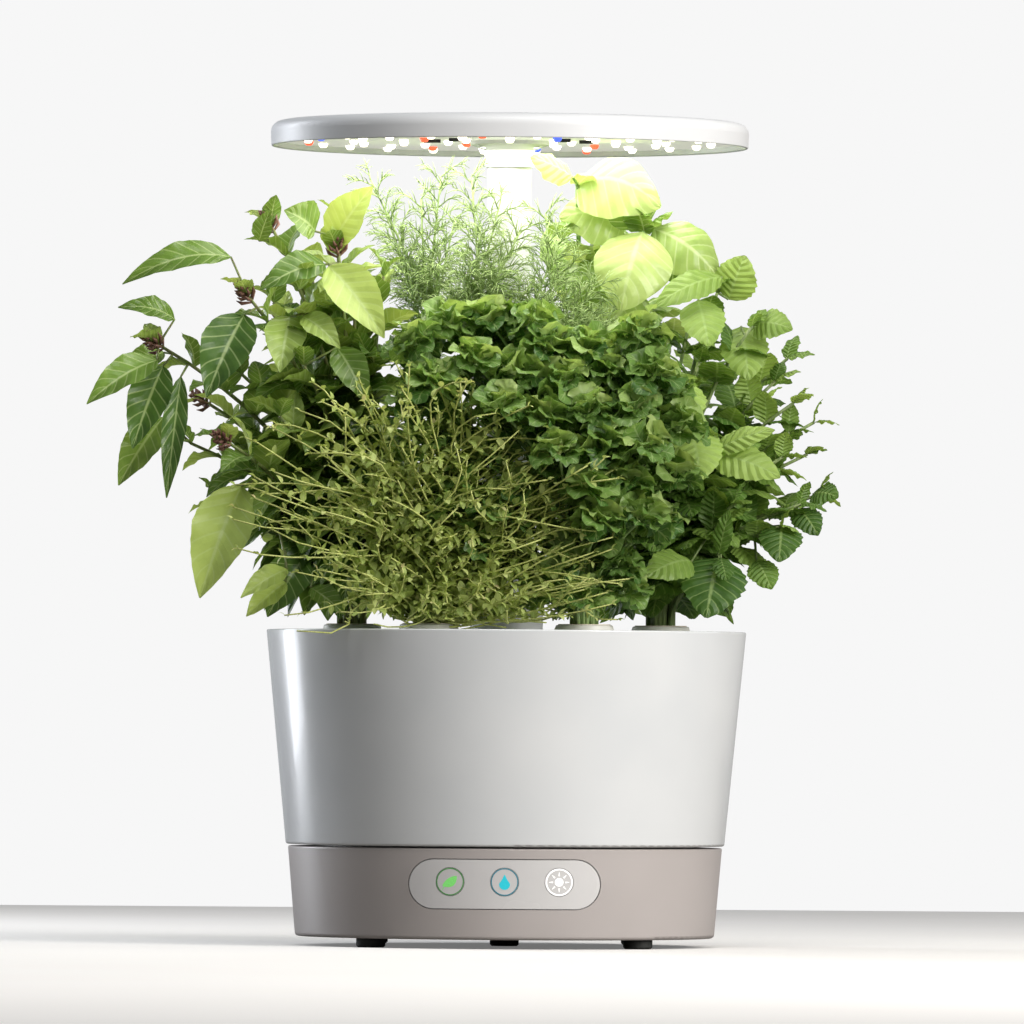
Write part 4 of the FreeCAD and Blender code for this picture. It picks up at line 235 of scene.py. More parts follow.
pump_foam = porous("open_cell_black_foam", "#101112", "#2b2d2e", 1.2)
peat = porous("pressed_peat", "#2a1a10", "#6b4a30", 1.1)
label_paper = porous("uncoated_label_paper", "#cfc6b6", "#ddd5c8", 0.3, 0.85)
board_green = circuit_laminate("green_circuit_laminate", "#1d5a34", "#4d8a57")
print(len(bpy.data.materials), "materials so far")

# %% [markdown]
# ## The light board and its lamps
# The hood's underside is an aluminium-backed board with a matte white solder mask, so that it
# throws stray light down. Small domed lamps sit on it: mostly white ones under clear silicone,
# with a few deep red and blue ones for growth. Each dome gets a dim emission of its own colour. The
# light that reaches the herbs comes from one soft disc lamp, which has less noise than
# sixty-four tiny ones.

# %% Board and lamp finishes
def lamp_dome(name, body, glow, strength):
    """Silicone dome over a lit chip, brighter where the dome is looked at from its front."""
    material, tree, shader = new_material(name, IOR=1.41, Roughness=0.15, Emission_Strength=strength)
    facing = add(tree, "LayerWeight", {"Blend": 0.35}).outputs["Facing"]
    tint = add(tree, "ValToRGB", {"Fac": facing}, [(0.0, glow), (0.9, body)])
    join(tree, shader, {"Base Color": tint.outputs["Color"], "Emission Color": linear(glow)})
    return material


mask_white = moulded_plastic("white_solder_mask", ("#cfd2d4", "#d8dadc"), 0.45, 0.3, 0.01)
# The mask shines a little, in place of the light that the lamps would throw on it
join(mask_white.node_tree, mask_white.node_tree.nodes["Principled BSDF"],
     {"Emission Color": linear("#fffbf2"), "Emission Strength": 0.35})
white_lamp = lamp_dome("warm_white_lamp_dome", "#e8e2cf", "#fff6e2", 3.2)
red_lamp = lamp_dome("deep_red_lamp_dome", "#b24a3c", "#ff5a3c", 1.6)
blue_lamp = lamp_dome("royal_blue_lamp_dome", "#3c4fb0", "#4a62ff", 1.4)
status_lamp = lamp_dome("clear_status_lamp", "#cfd8cf", "#dff5d8", 0.6)
chip_epoxy = moulded_plastic("black_epoxy_chip", ("#15161a", "#202126"), 0.4, 0.3, 0.01)

# %% Put each finish on its CAD nodes
finishes = {
    white_abs: ["bowl", "grow_deck", "fill_lid", "mast_socket"],
    hood_abs: ["hood_shell", "hood_hub", "mast_tube", "mast_tube_upper", "mast_collar"],
    grey_abs: ["base_shell"],
    panel_abs: ["control_panel", "water_indicator", "food_button", "light_button"],
    plate_pp: ["base_plate"],
    black_nylon: ["base_connector", "bowl_connector", "dc_jack", "tact_switches", "level_sensor",
                  "mast_plug"],
    pump_abs: ["pump_housing", "pump_cover"],
    ivory_pom: ["impeller", "friction_bush", "riser_pipe", "water_manifold", "float_guide"],
    basket_pp: ["grow_basket_%d" % number for number in range(1, 7)],
    float_pe: ["level_float"],
    foot_rubber: ["rubber_feet"],
    wire_rubber: ["base_wiring", "pump_lead"],
    steel: ["base_screws", "board_screws", "hood_screws", "lid_pin", "impeller_pin"],
    pump_foam: ["intake_filter"],
    peat: ["grow_sponges"],
    label_paper: ["pod_labels"],
    board_green: ["control_board"],
    mask_white: ["led_board"],
    white_lamp: ["leds_white"],
    red_lamp: ["leds_red"],
    blue_lamp: ["leds_blue"],
    status_lamp: ["indicator_leds"],
    chip_epoxy: ["board_drivers"],
}
for finish, names in finishes.items():
    for name in names:
        mesh = frame["nodes"][name].data
        mesh.materials.clear()
        mesh.materials.append(finish)
print(sum(len(names) for names in finishes.values()), "CAD nodes have a finish")

# %% [markdown]
# ## Pieces from points
# Printed symbols, stems and leaves are all meshes from lists of points. One function makes such a
# mesh an object in the frame, gives it its finish and smooths its shading. It works in
# millimetres, as the sizes on the real garden do, and turns them to metres at the end.

# %% Helper for a piece made of points and faces
def piece(name, points, faces, material, body, slot, smooth=True):
    """A mesh object in the frame, from points in millimetres."""
    mesh = bpy.data.meshes.new(name)
    mesh.from_pydata([tuple(value * MM for value in point) for point in points], [], faces)
    mesh.materials.append(material)
    mesh.polygons.foreach_set("use_smooth", [smooth] * len(mesh.polygons))
    shown = show(name, mesh)
    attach(shown, body)
    return shown


# %% [markdown]
# ## Symbols on the panel
# Under the clear top layer of the panel are three symbols, each in a ring: a leaf for plant food,
# a drop for water and a sun for the light. They are printed, so they have colour and no depth, and
# the lamps behind make them glow a little. Thin meshes that follow the base's cone do this: they
# stay sharp at any distance, and they move with the button that they are printed on.

# %% Symbol outlines, in millimetres around the middle of each symbol
SEAT_HEIGHT = 1.0
BASE_LOW_RADIUS = 115.4
BASE_HIGH_RADIUS = 119.6
SYMBOL_HEIGHT = 36.6
SYMBOL_SPACING = 29.6
PRINT_PROUD = 0.06
RING_OUTER = 7.5
RING_STEPS = 72
DROP_RADIUS = 2.95
DROP_DROP = 1.3
LEAF_LENGTH = 4.7
LEAF_TILT_COS = 0.82
LEAF_TILT_SIN = 0.57
LEAF_BEND = 0.14
SUN_RADIUS = 2.35
RAYS = 8
RAY_START, RAY_END = 3.3, 5.4
RAY_FOOT, RAY_TIP = 0.5, 0.18
INNER_SHARE = 0.02  # an inner outline this small closes the middle of a symbol


def base_front(x, height):
    """How far forward the base's cone stands at a place on the panel."""
    low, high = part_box("base_shell")
    share = (height * MM - low[2]) / (high[2] - SEAT_HEIGHT * MM - low[2])
    radius = BASE_LOW_RADIUS + (BASE_HIGH_RADIUS - BASE_LOW_RADIUS) * share
    return -math.sqrt(radius ** 2 - x ** 2)


def printed(name, rings, centre_x, material, body, slot):
    """A printed patch between an inner and an outer outline, laid on the base's cone."""
    inner, outer = rings
    points = []
    for outline in (inner, outer):
        for x, z in outline:
            depth = base_front(centre_x + x, SYMBOL_HEIGHT + z) - PRINT_PROUD
            points.append((centre_x + x, depth, SYMBOL_HEIGHT + z))
    count = len(inner)
    faces = []
    for index in range(count):
        following = (index + 1) % count
        faces.append((index, following, count + following, count + index))
    return piece(name, points, faces, material, body, slot, smooth=False)


def circle(radius, count, turn=0.0):
    return [(radius * math.cos(turn + step * math.tau / count),
             radius * math.sin(turn + step * math.tau / count)) for step in range(count)]


def drop_outline(count, size):
    """A water drop: a circle drawn up to a point."""
    outline = []
    for step in range(count):
        angle = step * math.tau / count
        lift = max(0.0, math.sin(angle))
        narrow = 1 - 0.55 * lift ** 1.5
        outline.append((size * DROP_RADIUS * math.cos(angle) * narrow,
                        size * (DROP_RADIUS * math.sin(angle) * (1 + 0.75 * lift ** 3) - DROP_DROP)))
    return outline


def leaf_outline(count, size):
    """A leaf that leans to the upper right, pointed at both ends."""
    outline = []
    for step in range(count):
        angle = step * math.tau / count
        along = math.cos(angle)
        across = math.copysign(abs(math.sin(angle)) ** 1.7, math.sin(angle)) * 0.5
        bend = LEAF_BEND * math.cos(angle * 2)
        x, z = along, across + bend * 0.6
        outline.append((size * LEAF_LENGTH * (x * LEAF_TILT_COS - z * LEAF_TILT_SIN),
                        size * LEAF_LENGTH * (x * LEAF_TILT_SIN + z * LEAF_TILT_COS)))
    return outline


# %% Print the rings and symbols
def print_ink(name, colour, glow):
    """Screen-printed ink under a clear coat, lit a little from behind."""
    material, tree, shader = new_material(name, IOR=1.5, Roughness=0.32, Emission_Strength=glow)
    place = add(tree, "TexCoord").outputs["Object"]
    screen = add(tree, "TexNoise", {"Vector": place, "Scale": SCREEN_PER_METRE})
    shade = "#" + "".join("%02x" % int(int(colour[i:i + 2], 16) * 0.93) for i in (1, 3, 5))
    tint = add(tree, "ValToRGB", {"Fac": screen.outputs["Fac"]},
               [(NOISE_LOW, shade), (NOISE_HIGH, colour)])
    join(tree, shader, {"Base Color": tint.outputs["Color"], "Emission Color": linear(colour)})
    return material


green_ring = print_ink("green_ring_ink", "#5fa860", 0.05)
green_ink = print_ink("lit_green_ink", "#7fdc74", 0.35)
blue_ring = print_ink("blue_ring_ink", "#4793a8", 0.05)
blue_ink = print_ink("lit_blue_ink", "#2fc6d6", 0.35)
white_ink = print_ink("lit_white_ink", "#ffffff", 0.35)
symbols = (
    (-SYMBOL_SPACING, "food_button", green_ring, 0.6),
    (0.0, "base", blue_ring, 0.6),
    (SYMBOL_SPACING, "light_button", white_ink, 1.0),
)
for x, body, ink, breadth in symbols:
    rings = (circle(RING_OUTER - breadth, RING_STEPS), circle(RING_OUTER, RING_STEPS))
    printed("symbol_ring_" + body, rings, x, ink, body, "lens_plastic")
leaf_print = (leaf_outline(RING_STEPS, INNER_SHARE), leaf_outline(RING_STEPS, 1.0))
printed("symbol_leaf", leaf_print, -SYMBOL_SPACING, green_ink, "food_button", "lens_plastic")
stalk = [(-2.9, -2.6), (-3.5, -3.0), (-4.3, -4.3), (-3.8, -4.3)]
stalk_middle = (-3.6, -3.5)
printed("symbol_stalk", ([stalk_middle] * 4, stalk), -SYMBOL_SPACING, green_ink, "food_button",
        "lens_plastic")
drop_print = (drop_outline(RING_STEPS, INNER_SHARE), drop_outline(RING_STEPS, 1.0))
printed("symbol_drop", drop_print, 0.0, blue_ink, "base", "lens_plastic")
sun_print = (circle(0.05, RING_STEPS), circle(SUN_RADIUS, RING_STEPS))
printed("symbol_sun", sun_print, SYMBOL_SPACING, white_ink, "light_button", "lens_plastic")
for ray in range(RAYS):
    turn = ray * math.tau / RAYS
    tip = Vector((math.cos(turn), math.sin(turn)))
    across = Vector((-tip.y, tip.x))
    corners = [tip * RAY_START - across * RAY_FOOT, tip * RAY_START + across * RAY_FOOT,
               tip * RAY_END + across * RAY_TIP, tip * RAY_END - across * RAY_TIP]
    middle = sum(corners, Vector((0.0, 0.0))) / 4
    rings = ([tuple(middle)] * 4, [tuple(corner) for corner in corners])
    printed("symbol_ray_%d" % (ray + 1), rings, SYMBOL_SPACING, white_ink, "light_button",
            "lens_plastic")
print("panel printed")

# %% [markdown]
# ## The coiled lamp lead
# Inside the mast the wires to the lamp are wound as a spring, so that they follow the hood up and
# down. In the CAD model the coil is one closed tube. Here a line of points runs round a helix, and a
# ring of points is swept along it.

# %% Wind the lead
def tube(line, radii, sides):
    """Points and faces of a round tube along a line of points, with closed ends."""
    points, faces = [], []
    previous = None
    for index, centre in enumerate(line):
        heading = (line[min(index + 1, len(line) - 1)] - line[max(index - 1, 0)]).normalized()
        if previous is None:
            previous = heading.orthogonal().normalized()
        across = (previous - heading * previous.dot(heading)).normalized()
        previous = across
        other = heading.cross(across)
        for side in range(sides):
            angle = side * math.tau / sides
            points.append(centre + (across * math.cos(angle) + other * math.sin(angle)) * radii[index])
        if index:
            start = (index - 1) * sides
            for side in range(sides):
                following = (side + 1) % sides
                faces.append((start + side, start + following, start + sides + following,
                              start + sides + side))
    faces.append(tuple(reversed(range(sides))))
    faces.append(tuple(range(len(points) - sides, len(points))))
    return points, faces


lead_low, lead_high = (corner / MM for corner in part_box("lamp_lead"))
LEAD_RADIUS = 1.4
LEAD_TURNS = 24
LEAD_STEPS_PER_TURN = 16
lead_reach = (lead_high.x - lead_low.x) / 2 - LEAD_RADIUS
lead_rise = lead_high.z - lead_low.z - 2 * LEAD_RADIUS
lead_line = []
for step in range(LEAD_TURNS * LEAD_STEPS_PER_TURN + 1):
    turn = step * math.tau / LEAD_STEPS_PER_TURN
    share = step / (LEAD_TURNS * LEAD_STEPS_PER_TURN)
    reach = lead_reach * min(1.0, 0.2 + 12 * share, 0.2 + 12 * (1 - share))
    lead_line.append(Vector((reach * math.cos(turn), reach * math.sin(turn),
                             lead_low.z + LEAD_RADIUS + lead_rise * share)))
points, faces = tube(lead_line, [LEAD_RADIUS] * len(lead_line), 10)
lead = piece("lamp_lead_coil", points, faces, grey_sleeve, "mast", "lamp_wire")
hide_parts("lamp_lead")
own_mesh(lead)
print("lead from", round(lead_low.z, 1), "to", round(lead_high.z, 1), "mm in", LEAD_TURNS, "turns")

# %% [markdown]
# ## How a leaf is made
# A leaf blade is thin, so one sheet of faces is enough. It's a grid of points: along the midrib from
# the stalk to the tip, and across from edge to edge. Each herb has its own recipe: where the blade
# is widest, how far its halves fold, how many teeth it has, how much it puckers between the
# veins and how its edge waves. The grid's two directions are kept as a UV map, so that the finish
# can draw the veins, and each leaf keeps a random tone, so that no two have the same green.
# On parsley the tone also holds painted light: leaflets that point up are paler.

# %% Recipes of the leaves
def vary(seed):
    """Repeatable number from -1 to 1, different for each seed."""
    return math.sin(seed * 12.9898) * 43758.5453 % 1 * 2 - 1


# widest place, fullness, fold, teeth a side, depth of teeth, pucker mm, wave mm, rows, columns, veins
RECIPES = {
    "basil": (0.42, 0.72, -0.42, 0, 0.0, 0.85, 0.9, 22, 7, 6),
    "thai_basil": (0.40, 0.85, 0.34, 9, 0.05, 0.25, 0.7, 20, 4, 7),
    "mint": (0.42, 0.70, -0.16, 8, 0.13, 0.55, 0.6, 24, 4, 8),
    "parsley": (0.62, 0.60, 0.12, 3, 0.42, 0.0, 1.9, 9, 3, 4),
    "thyme": (0.45, 0.75, 0.18, 0, 0.0, 0.0, 0.0, 5, 1, 3),
}


LEAST_HALF = 0.35
FOLD_POWER = 1.25
VEIN_SLANT = 1.4
FULL_PUCKER_HALF = 6
WAVE_PACE, FINE_WAVE_PACE, FINE_WAVE_SHARE = 17, 31, 0.45


def leaf_grid(base, tip, side, width, arch, kind, seed):
    """Points, faces and UV places of one leaf blade."""
    widest, fullness, fold, teeth, bite, pucker, wave, rows, columns, veins = RECIPES[kind]
    run = tip - base
    upward = side.cross(run).normalized()
    skew = math.log(0.5) / math.log(widest)
    points, places = [], []
    for row in range(rows + 1):
        share = row / rows
        middle = base + run * share + upward * (arch * 4 * share * (1 - share))
        half = width / 2 * max(math.sin(math.pi * min(share, 0.995) ** skew), 0.0) ** fullness
        half = max(half, LEAST_HALF)
        if teeth:
            half *= 1 - bite * (share * teeth % 1.0)
        for column in range(-columns, columns + 1):
            across = column / columns
            outer = abs(across)
            lift = fold * half * outer ** FOLD_POWER
            rise = (share * veins - outer * VEIN_SLANT) % 1.0
            lift += (pucker * math.sin(math.pi * rise) * math.sin(math.pi * outer)
                     * min(1, half / FULL_PUCKER_HALF))
            edge = outer * outer * min(1.0, half / (width * 0.3))
            lift += wave * edge * math.sin(share * WAVE_PACE + seed * 5 + across * 2.2)
            lift += FINE_WAVE_SHARE * wave * edge * math.sin(share * FINE_WAVE_PACE + seed * 9)
            points.append(middle + side * (half * across) + upward * lift)
            places.append((share, (across + 1) / 2))
    breadth = 2 * columns + 1
    faces = []
    for row in range(rows):
        for column in range(breadth - 1):
            corner = row * breadth + column
            faces.append((corner, corner + 1, corner + breadth + 1, corner + breadth))
    return points, faces, places


print(len(RECIPES), "leaf recipes")

# %% [markdown]
# ## The finish of a leaf
# What makes a leaf look alive is light: a waxy gloss from above, and a yellower green where
# the lamp shines through it. So the finish mixes a waxy surface with a translucent one. From the
# UV map come a pale midrib and side veins that leave it at a slant; the grooves between the
# puckers get a bump. A leaf's own tone moves it from the dark green of an old leaf to the lime of
# a young one, and a noise mottles it.
# On parsley the tone also holds painted light: leaflets that point up are paler.

# %% Leaf and stem finishes
MOTTLE_PER_METRE = 160.0  # lighter and darker patches, about 6 mm from one to the next
VEIN_SHARE = 0.55
STREAKS_PER_METRE = (900.0, 900.0, 60.0)  # 1.1 mm apart across a stem and 17 mm long


def leaf_finish(name, greens, vein, through, veins, gloss, relief_mm, share_through=0.35):
    """A leaf blade with veins, seen by reflected light and by light that comes through."""
    material, tree, shader = new_material(name, Roughness=gloss, IOR=1.42)
    place = add(tree, "UVMap", uv_map="blade").outputs["UV"]
    parts = add(tree, "SeparateXYZ", {"Vector": place}).outputs
    centred = add(tree, "Math", {0: parts["Y"], 1: 2.0, 2: -1.0}, operation="MULTIPLY_ADD")
    outer = add(tree, "Math", {0: centred.outputs[0]}, operation="ABSOLUTE").outputs[0]
    # Side veins leave the midrib at a slant, as the puckers of the blade do
    count = add(tree, "Math", {0: parts["X"], 1: float(veins)}, operation="MULTIPLY")
    slant = add(tree, "Math", {0: outer, 1: VEIN_SLANT}, operation="MULTIPLY")
    rise = add(tree, "Math", {0: count.outputs[0], 1: slant.outputs[0]}, operation="SUBTRACT")
    gap = add(tree, "Math", {0: rise.outputs[0], 1: 0.5}, operation="PINGPONG").outputs[0]
    side_vein = add(tree, "MapRange", {"Value": gap, "From Min": 0.0, "From Max": 0.11,
                                       "To Min": 0.75, "To Max": 0.0},
                    interpolation_type="SMOOTHSTEP")
    midrib = add(tree, "MapRange", {"Value": outer, "From Min": 0.02, "From Max": 0.1,
                                    "To Min": 1.0, "To Max": 0.0},
                 interpolation_type="SMOOTHSTEP")
    drawn = add(tree, "Math", {0: side_vein.outputs["Result"], 1: midrib.outputs["Result"]},
                operation="MAXIMUM")
    tone = add(tree, "Attribute", attribute_name="tone").outputs["Fac"]
    solid = add(tree, "TexCoord").outputs["Object"]
    mottle = add(tree, "TexNoise", {"Vector": solid, "Scale": MOTTLE_PER_METRE, "Detail": 3.0})
    mottle = mottle.outputs["Fac"]
    mixed = add(tree, "Math", {0: mottle, 1: 0.3, 2: -0.15}, operation="MULTIPLY_ADD")
    shift = add(tree, "Math", {0: tone, 1: mixed.outputs[0]}, operation="ADD")
    green = add(tree, "ValToRGB", {"Fac": shift.outputs[0]}, greens)
    share = add(tree, "Math", {0: drawn.outputs[0], 1: VEIN_SHARE}, operation="MULTIPLY")
    veined = add(tree, "Mix", {"Factor": share.outputs[0], "A": green.outputs["Color"],
                               "B": linear(vein)}, data_type="RGBA").outputs["Result"]
    deep = add(tree, "Math", {0: gap, 1: 2.0}, operation="MULTIPLY")
    puckers = add(tree, "Math", {0: deep.outputs[0], 1: mottle}, operation="ADD")
    bump = add(tree, "Bump", {"Height": puckers.outputs[0], "Strength": 0.8,
                              "Distance": relief_mm * MM})
    join(tree, shader, {"Base Color": veined, "Normal": bump.outputs["Normal"]})
    # Light that comes through the blade is the leaf's colour, yellower and paler
    glow = add(tree, "Mix", {"Factor": 1.0, "A": veined, "B": linear(through)},
               data_type="RGBA", blend_type="MULTIPLY")
    lit = add(tree, "Gamma", {"Color": glow.outputs["Result"], "Gamma": 0.8})
    behind = add(tree, "BsdfTranslucent", {"Color": lit.outputs["Color"]})
    both = add(tree, "MixShader", {"Fac": share_through, 1: shader.outputs["BSDF"],
                                   2: behind.outputs["BSDF"]})
    join(tree, tree.nodes["Material Output"], {"Surface": both.outputs["Shader"]})
    return material


def stem_finish(name, colours, roughness):
    """A living stem: streaks along its length between two colours, and a soft sheen."""
    material, tree, shader = new_material(name, Roughness=roughness, IOR=1.42)
    place = add(tree, "TexCoord").outputs["Object"]
    stretch = add(tree, "Mapping", {"Vector": place, "Scale": STREAKS_PER_METRE})
    streak = add(tree, "TexNoise", {"Vector": stretch.outputs["Vector"], "Scale": 1.0,
                                    "Detail": 2.0})
    paint(tree, shader, streak.outputs["Fac"],
          [(NOISE_LOW, colours[0]), (NOISE_HIGH, colours[1])], 0.4, 0.1)
    return material


finish_of_leaf = {
    "basil": leaf_finish("waxy_genovese_basil_leaf",
                         [(0.0, "#4a6f2a"), (0.5, "#7c9e48"), (1.0, "#bdd384")],
                         "#d3e2ae", "#f6f4b8", 6, 0.26, 0.5),
    "thai_basil": leaf_finish("waxy_thai_basil_leaf",
                              [(0.0, "#3a5c28"), (0.5, "#6b8c3c"), (1.0, "#b4cb70")],
                              "#c3d79a", "#f6f2ae", 7, 0.28, 0.3),
    "mint": leaf_finish("wrinkled_mint_leaf", [(0.0, "#3a5e26"), (0.5, "#668a3a"), (1.0, "#a6c364")],
                        "#b0cb82", "#f0f2a8", 8, 0.42, 0.7),
    "parsley": leaf_finish("curly_parsley_leaf", [(0.0, "#4a7232"), (0.5, "#7fa252"), (1.0, "#c4d88a")],
                           "#b4cc8c", "#f0f2a8", 4, 0.36, 0.3, 0.35),
    "thyme": leaf_finish("small_thyme_leaf", [(0.0, "#6b8142"), (0.5, "#a0b45e"), (0.9, "#ced98c"),
                                              (1.0, "#c9a595")], "#d0da9a", "#f4f2b0", 3, 0.5, 0.1, 0.3),
}
finish_of_stem = {
    "basil": stem_finish("juicy_basil_stem", ("#6f9a4a", "#9cbd72"), 0.4),
    "thai_basil": stem_finish("green_thai_basil_stem", ("#77714e", "#839c58"), 0.45),
    "mint": stem_finish("square_mint_stem", ("#5f7a40", "#8f9d6a"), 0.45),
    "parsley": stem_finish("juicy_parsley_stem", ("#7da357", "#b3cb8a"), 0.38),
    "thyme": stem_finish("wiry_thyme_stem", ("#a3ae58", "#d0d688"), 0.5),
    "dill": stem_finish("feathery_dill_thread", ("#86a25a", "#b8cf8e"), 0.42),
}
bract_finish = stem_finish("purple_brown_flower_bract", ("#6a4646", "#95705f"), 0.55)
print(len(bpy.data.materials), "materials now")

# %% [markdown]
# ## Where the herbs grow
# Six pods stand in a ring, and each herb leans to its own side. The ends of its shoots and its
# biggest leaves are given as places beside its pod, as they stand on the garden; a rule fills the
# stems between with pairs of leaves, each pair square to the one below, as the mint family grows.

# %% Shoot tips and single leaves, in millimetres from the pod at the sponge's top
THAI_BASIL_SHOOTS = (
    (-58, -30, 184), (-108, -10, 158), (-9, -20, 210), (-47, 25, 225), (-69, -50, 104),
    (-27, -45, 146), (-40, 60, 173), (-83, 40, 128), (-50, -20, 63),
)
THAI_BASIL_LEAVES = (
    ((-14, -30, 201), (17, -52, 161), 28, 5),
    ((-68, -20, 206), (-127, -38, 190), 18, 12),
    ((-16, -28, 202), (-51, -48, 187), 20, 6),
    ((-60, -32, 174), (-80, -55, 128), 30, 5),
    ((-12, -15, 214), (10, -30, 245), 25, 3),
    ((-22, -5, 221), (-39, -15, 232), 24, 3),
    ((-108, -20, 149), (-146, -40, 124), 20, 6),
    ((-99, -5, 172), (-130, -15, 178), 14, 6),
    ((-105, 10, 154), (-129, 0, 140), 16, 4),
    ((-105, -12, 146), (-121, -30, 100), 24, 4),
    ((-53, 5, 216), (-47, 0, 233), 12, 1),
    ((-35, -30, 173), (-40, -50, 142), 24, 4),
    ((-28, -35, 173), (-7, -52, 155), 16, 4),
    ((-9, -40, 156), (8, -58, 125), 20, 4),
    ((-95, -20, 140), (-102, -35, 73), 14, 3),
    ((-61, -30, 80), (-83, -50, 18), 34, 6),
    ((-35, -60, 34), (-60, -78, 18), 14, 3),
    ((-36, -55, 27), (-57, -70, 8), 15, 2),
    ((-26, -35, 41), (-46, -45, 8), 26, 4),
    ((-22, -50, 24), (-3, -65, 9), 14, 2),
    ((-105, 0, 118), (-129, -15, 80), 22, 4),
)
BASIL_SHOOTS = ((32, -72, 222), (-5, -74, 248), (18, -4, 208), (42, -24, 128))
BASIL_LEAVES = (
    ((-6, -69, 248), (41, -79, 236), 42, 16),
    ((-8, -84, 252), (-31, -98, 262), 18, 2),
    ((32, -69, 224), (23, -82, 248), 32, 2),
    ((31, -79, 222), (19, -102, 178), 44, 10),
    ((37, -69, 224), (73, -76, 197), 34, 9),
    ((23, -59, 232), (-15, -69, 230), 36, 5),
    ((37, -54, 220), (61, -59, 192), 24, 4),
    ((29, -64, 190), (5, -76, 154), 40, 6),
    ((19, -54, 213), (-9, -66, 180), 34, 5),
)
MINT_SHOOTS = (
    (30, -5, 189), (69, 5, 153), (49, -25, 170), (28, -45, 103), (87, -5, 78), (65, -30, 60),
    (35, -45, 63), (55, 45, 128), (25, 45, 158),
)
MINT_LEAVES = (
    ((36, -5, 185), (45, -12, 209), 26, 2),
    ((49, -15, 170), (71, -28, 168), 22, 5),
    ((32, -15, 197), (-5, -35, 180), 20, 6),
    ((19, -20, 184), (25, -45, 158), 26, 3),
    ((43, -10, 170), (47, -30, 140), 28, 4),
    ((13, -40, 138), (9, -62, 113), 26, 3),
    ((28, -50, 100), (61, -62, 112), 15, 4),
    ((28, -48, 98), (64, -66, 86), 24, 5),
    ((15, -45, 112), (21, -70, 84), 32, 4),
    ((83, -5, 78), (97, -18, 76), 18, 3),
    ((75, -5, 70), (86, -20, 55), 18, 3),
    ((66, -25, 61), (64, -46, 40), 25, 4),
    ((52, -30, 41), (60, -48, 25), 18, 2),
    ((31, -45, 42), (24, -70, 9), 38, 6),
    ((16, -48, 40), (-9, -72, 31), 24, 5),
    ((31, -52, 44), (36, -64, 68), 11, 1),
    ((32, -52, 42), (35, -72, 29), 12, 1),
)

# Ends of stems as they stand from the front: x from the mast, and height above the feet
PARSLEY_ENDS = (
    (-51, 329), (-32, 340), (-10, 342), (12, 341), (20, 326), (42, 326), (72, 334), (-42, 307),
    (-18, 318), (6, 312), (31, 307), (56, 312), (80, 312), (-4, 293), (20, 288), (45, 291),
    (69, 293), (28, 269), (53, 272), (75, 272), (45, 250), (66, 253), (50, 231), (72, 233),
)
THYME_ENDS = (
    (-137, 260), (-126, 285), (-113, 301), (-94, 298), (-74, 302), (-58, 306), (-42, 295),
    (-28, 309), (-15, 313), (7, 306), (18, 293), (-4, 276), (42, 260), (50, 244), (28, 260),
    (37, 233), (50, 211), (47, 190), (20, 195), (1, 211), (-20, 196), (-42, 192), (-66, 197),
    (-88, 199), (-107, 211), (-123, 228), (-133, 241), (-96, 244), (-69, 255), (-42, 260),
    (-20, 244), (7, 238), (-58, 222), (-31, 217), (-85, 276), (-47, 279), (-110, 271),
)

# Dill: main stems as x, y and height above the feet, each with the ends of its own fronds
DILL_STEMS = (
    ((-43, 74, 172), (-43, 70, 230), (-44, 58, 290), (-45, 40, 350)),
    ((-40, 70, 172), (-36, 52, 230), (-30, 12, 285), (-25, -14, 320), (-15, -28, 345)),
    ((-45, 70, 172), (-44, 38, 232), (-34, -8, 280), (-20, -30, 305), (25, -30, 330)),
)
DILL_FRONDS = (
    ((-77, 30, 423), (-68, 42, 403), (-49, 18, 412), (-38, 30, 425), (-30, 46, 403),
     (-55, 10, 370), (-63, 24, 387), (-38, 8, 377)),
    ((-21, -22, 423), (-16, -36, 395), (-5, -28, 409), (6, -40, 392), (-5, -46, 370),
     (-21, -42, 377), (-30, -30, 352), (6, -44, 331), (12, -34, 362)),
    ((20, -26, 403), (28, -36, 389), (36, -28, 376), (47, -38, 362), (57, -30, 345),
     (64, -40, 334), (50, -48, 334), (36, -50, 340), (23, -46, 351), (28, -52, 329)),
)

# %% Growing a plant
GOLDEN_ANGLE = math.radians(137.5)
SPONGE_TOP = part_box("grow_sponges")[1].z / MM
LABEL_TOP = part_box("pod_labels")[1].z / MM
LAMP_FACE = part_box("hood_shell")[0].z / MM
MAST_ROOM = 16.8
LID_ROOM = (26.0, 70.0, 228.0)
LAMP_LEAF_GAP = 1.2
POD_RADIUS = 85.0
POD_ANGLE = 60
ROOT_SPREAD = 7
ROOTS_PER_TURN = 9
LEAST_STEM_RISE = 30
STEM_END = 0.999
STEM_STATIONS = 24
LEAF_FACING = Vector((0, -0.85, 0.5))
STALK_GAP = 0.5
STALK_RADII = [0.8, 0.6]


def bezier(root, rise, tip, steps):
    """Stem line that starts straight up and then leans over to its tip."""
    control = root + Vector((0, 0, rise))
    shares = [step / steps for step in range(steps + 1)]
    return [root * (1 - t) ** 2 + control * (2 * t * (1 - t)) + tip * t * t for t in shares]


def along(points, share):
    """Point and direction on a stem line, at a share of its stations."""
    place = min(share, STEM_END) * (len(points) - 1)
    index = int(place)
    step = points[index + 1] - points[index]
    return points[index] + step * (place - index), step.normalized()


def cross_unit(first, second):
    """Unit vector square to two others; X where they are in line."""
    product = first.cross(second)
    return product.normalized() if product.length > 1e-3 else Vector((1, 0, 0))


def fits(points, lowest):
    """Whether points stay clear of the pod labels, the lamps, the mast and the fill lid's swing."""
    for point in points:
        if point.z < lowest or point.z > LAMP_FACE - LAMP_LEAF_GAP:
            return False
        if math.hypot(point.x, point.y) < MAST_ROOM:
            return False
        if abs(point.x) < LID_ROOM[0] and point.y > LID_ROOM[1] and point.z < LID_ROOM[2]:
            return False
    return True


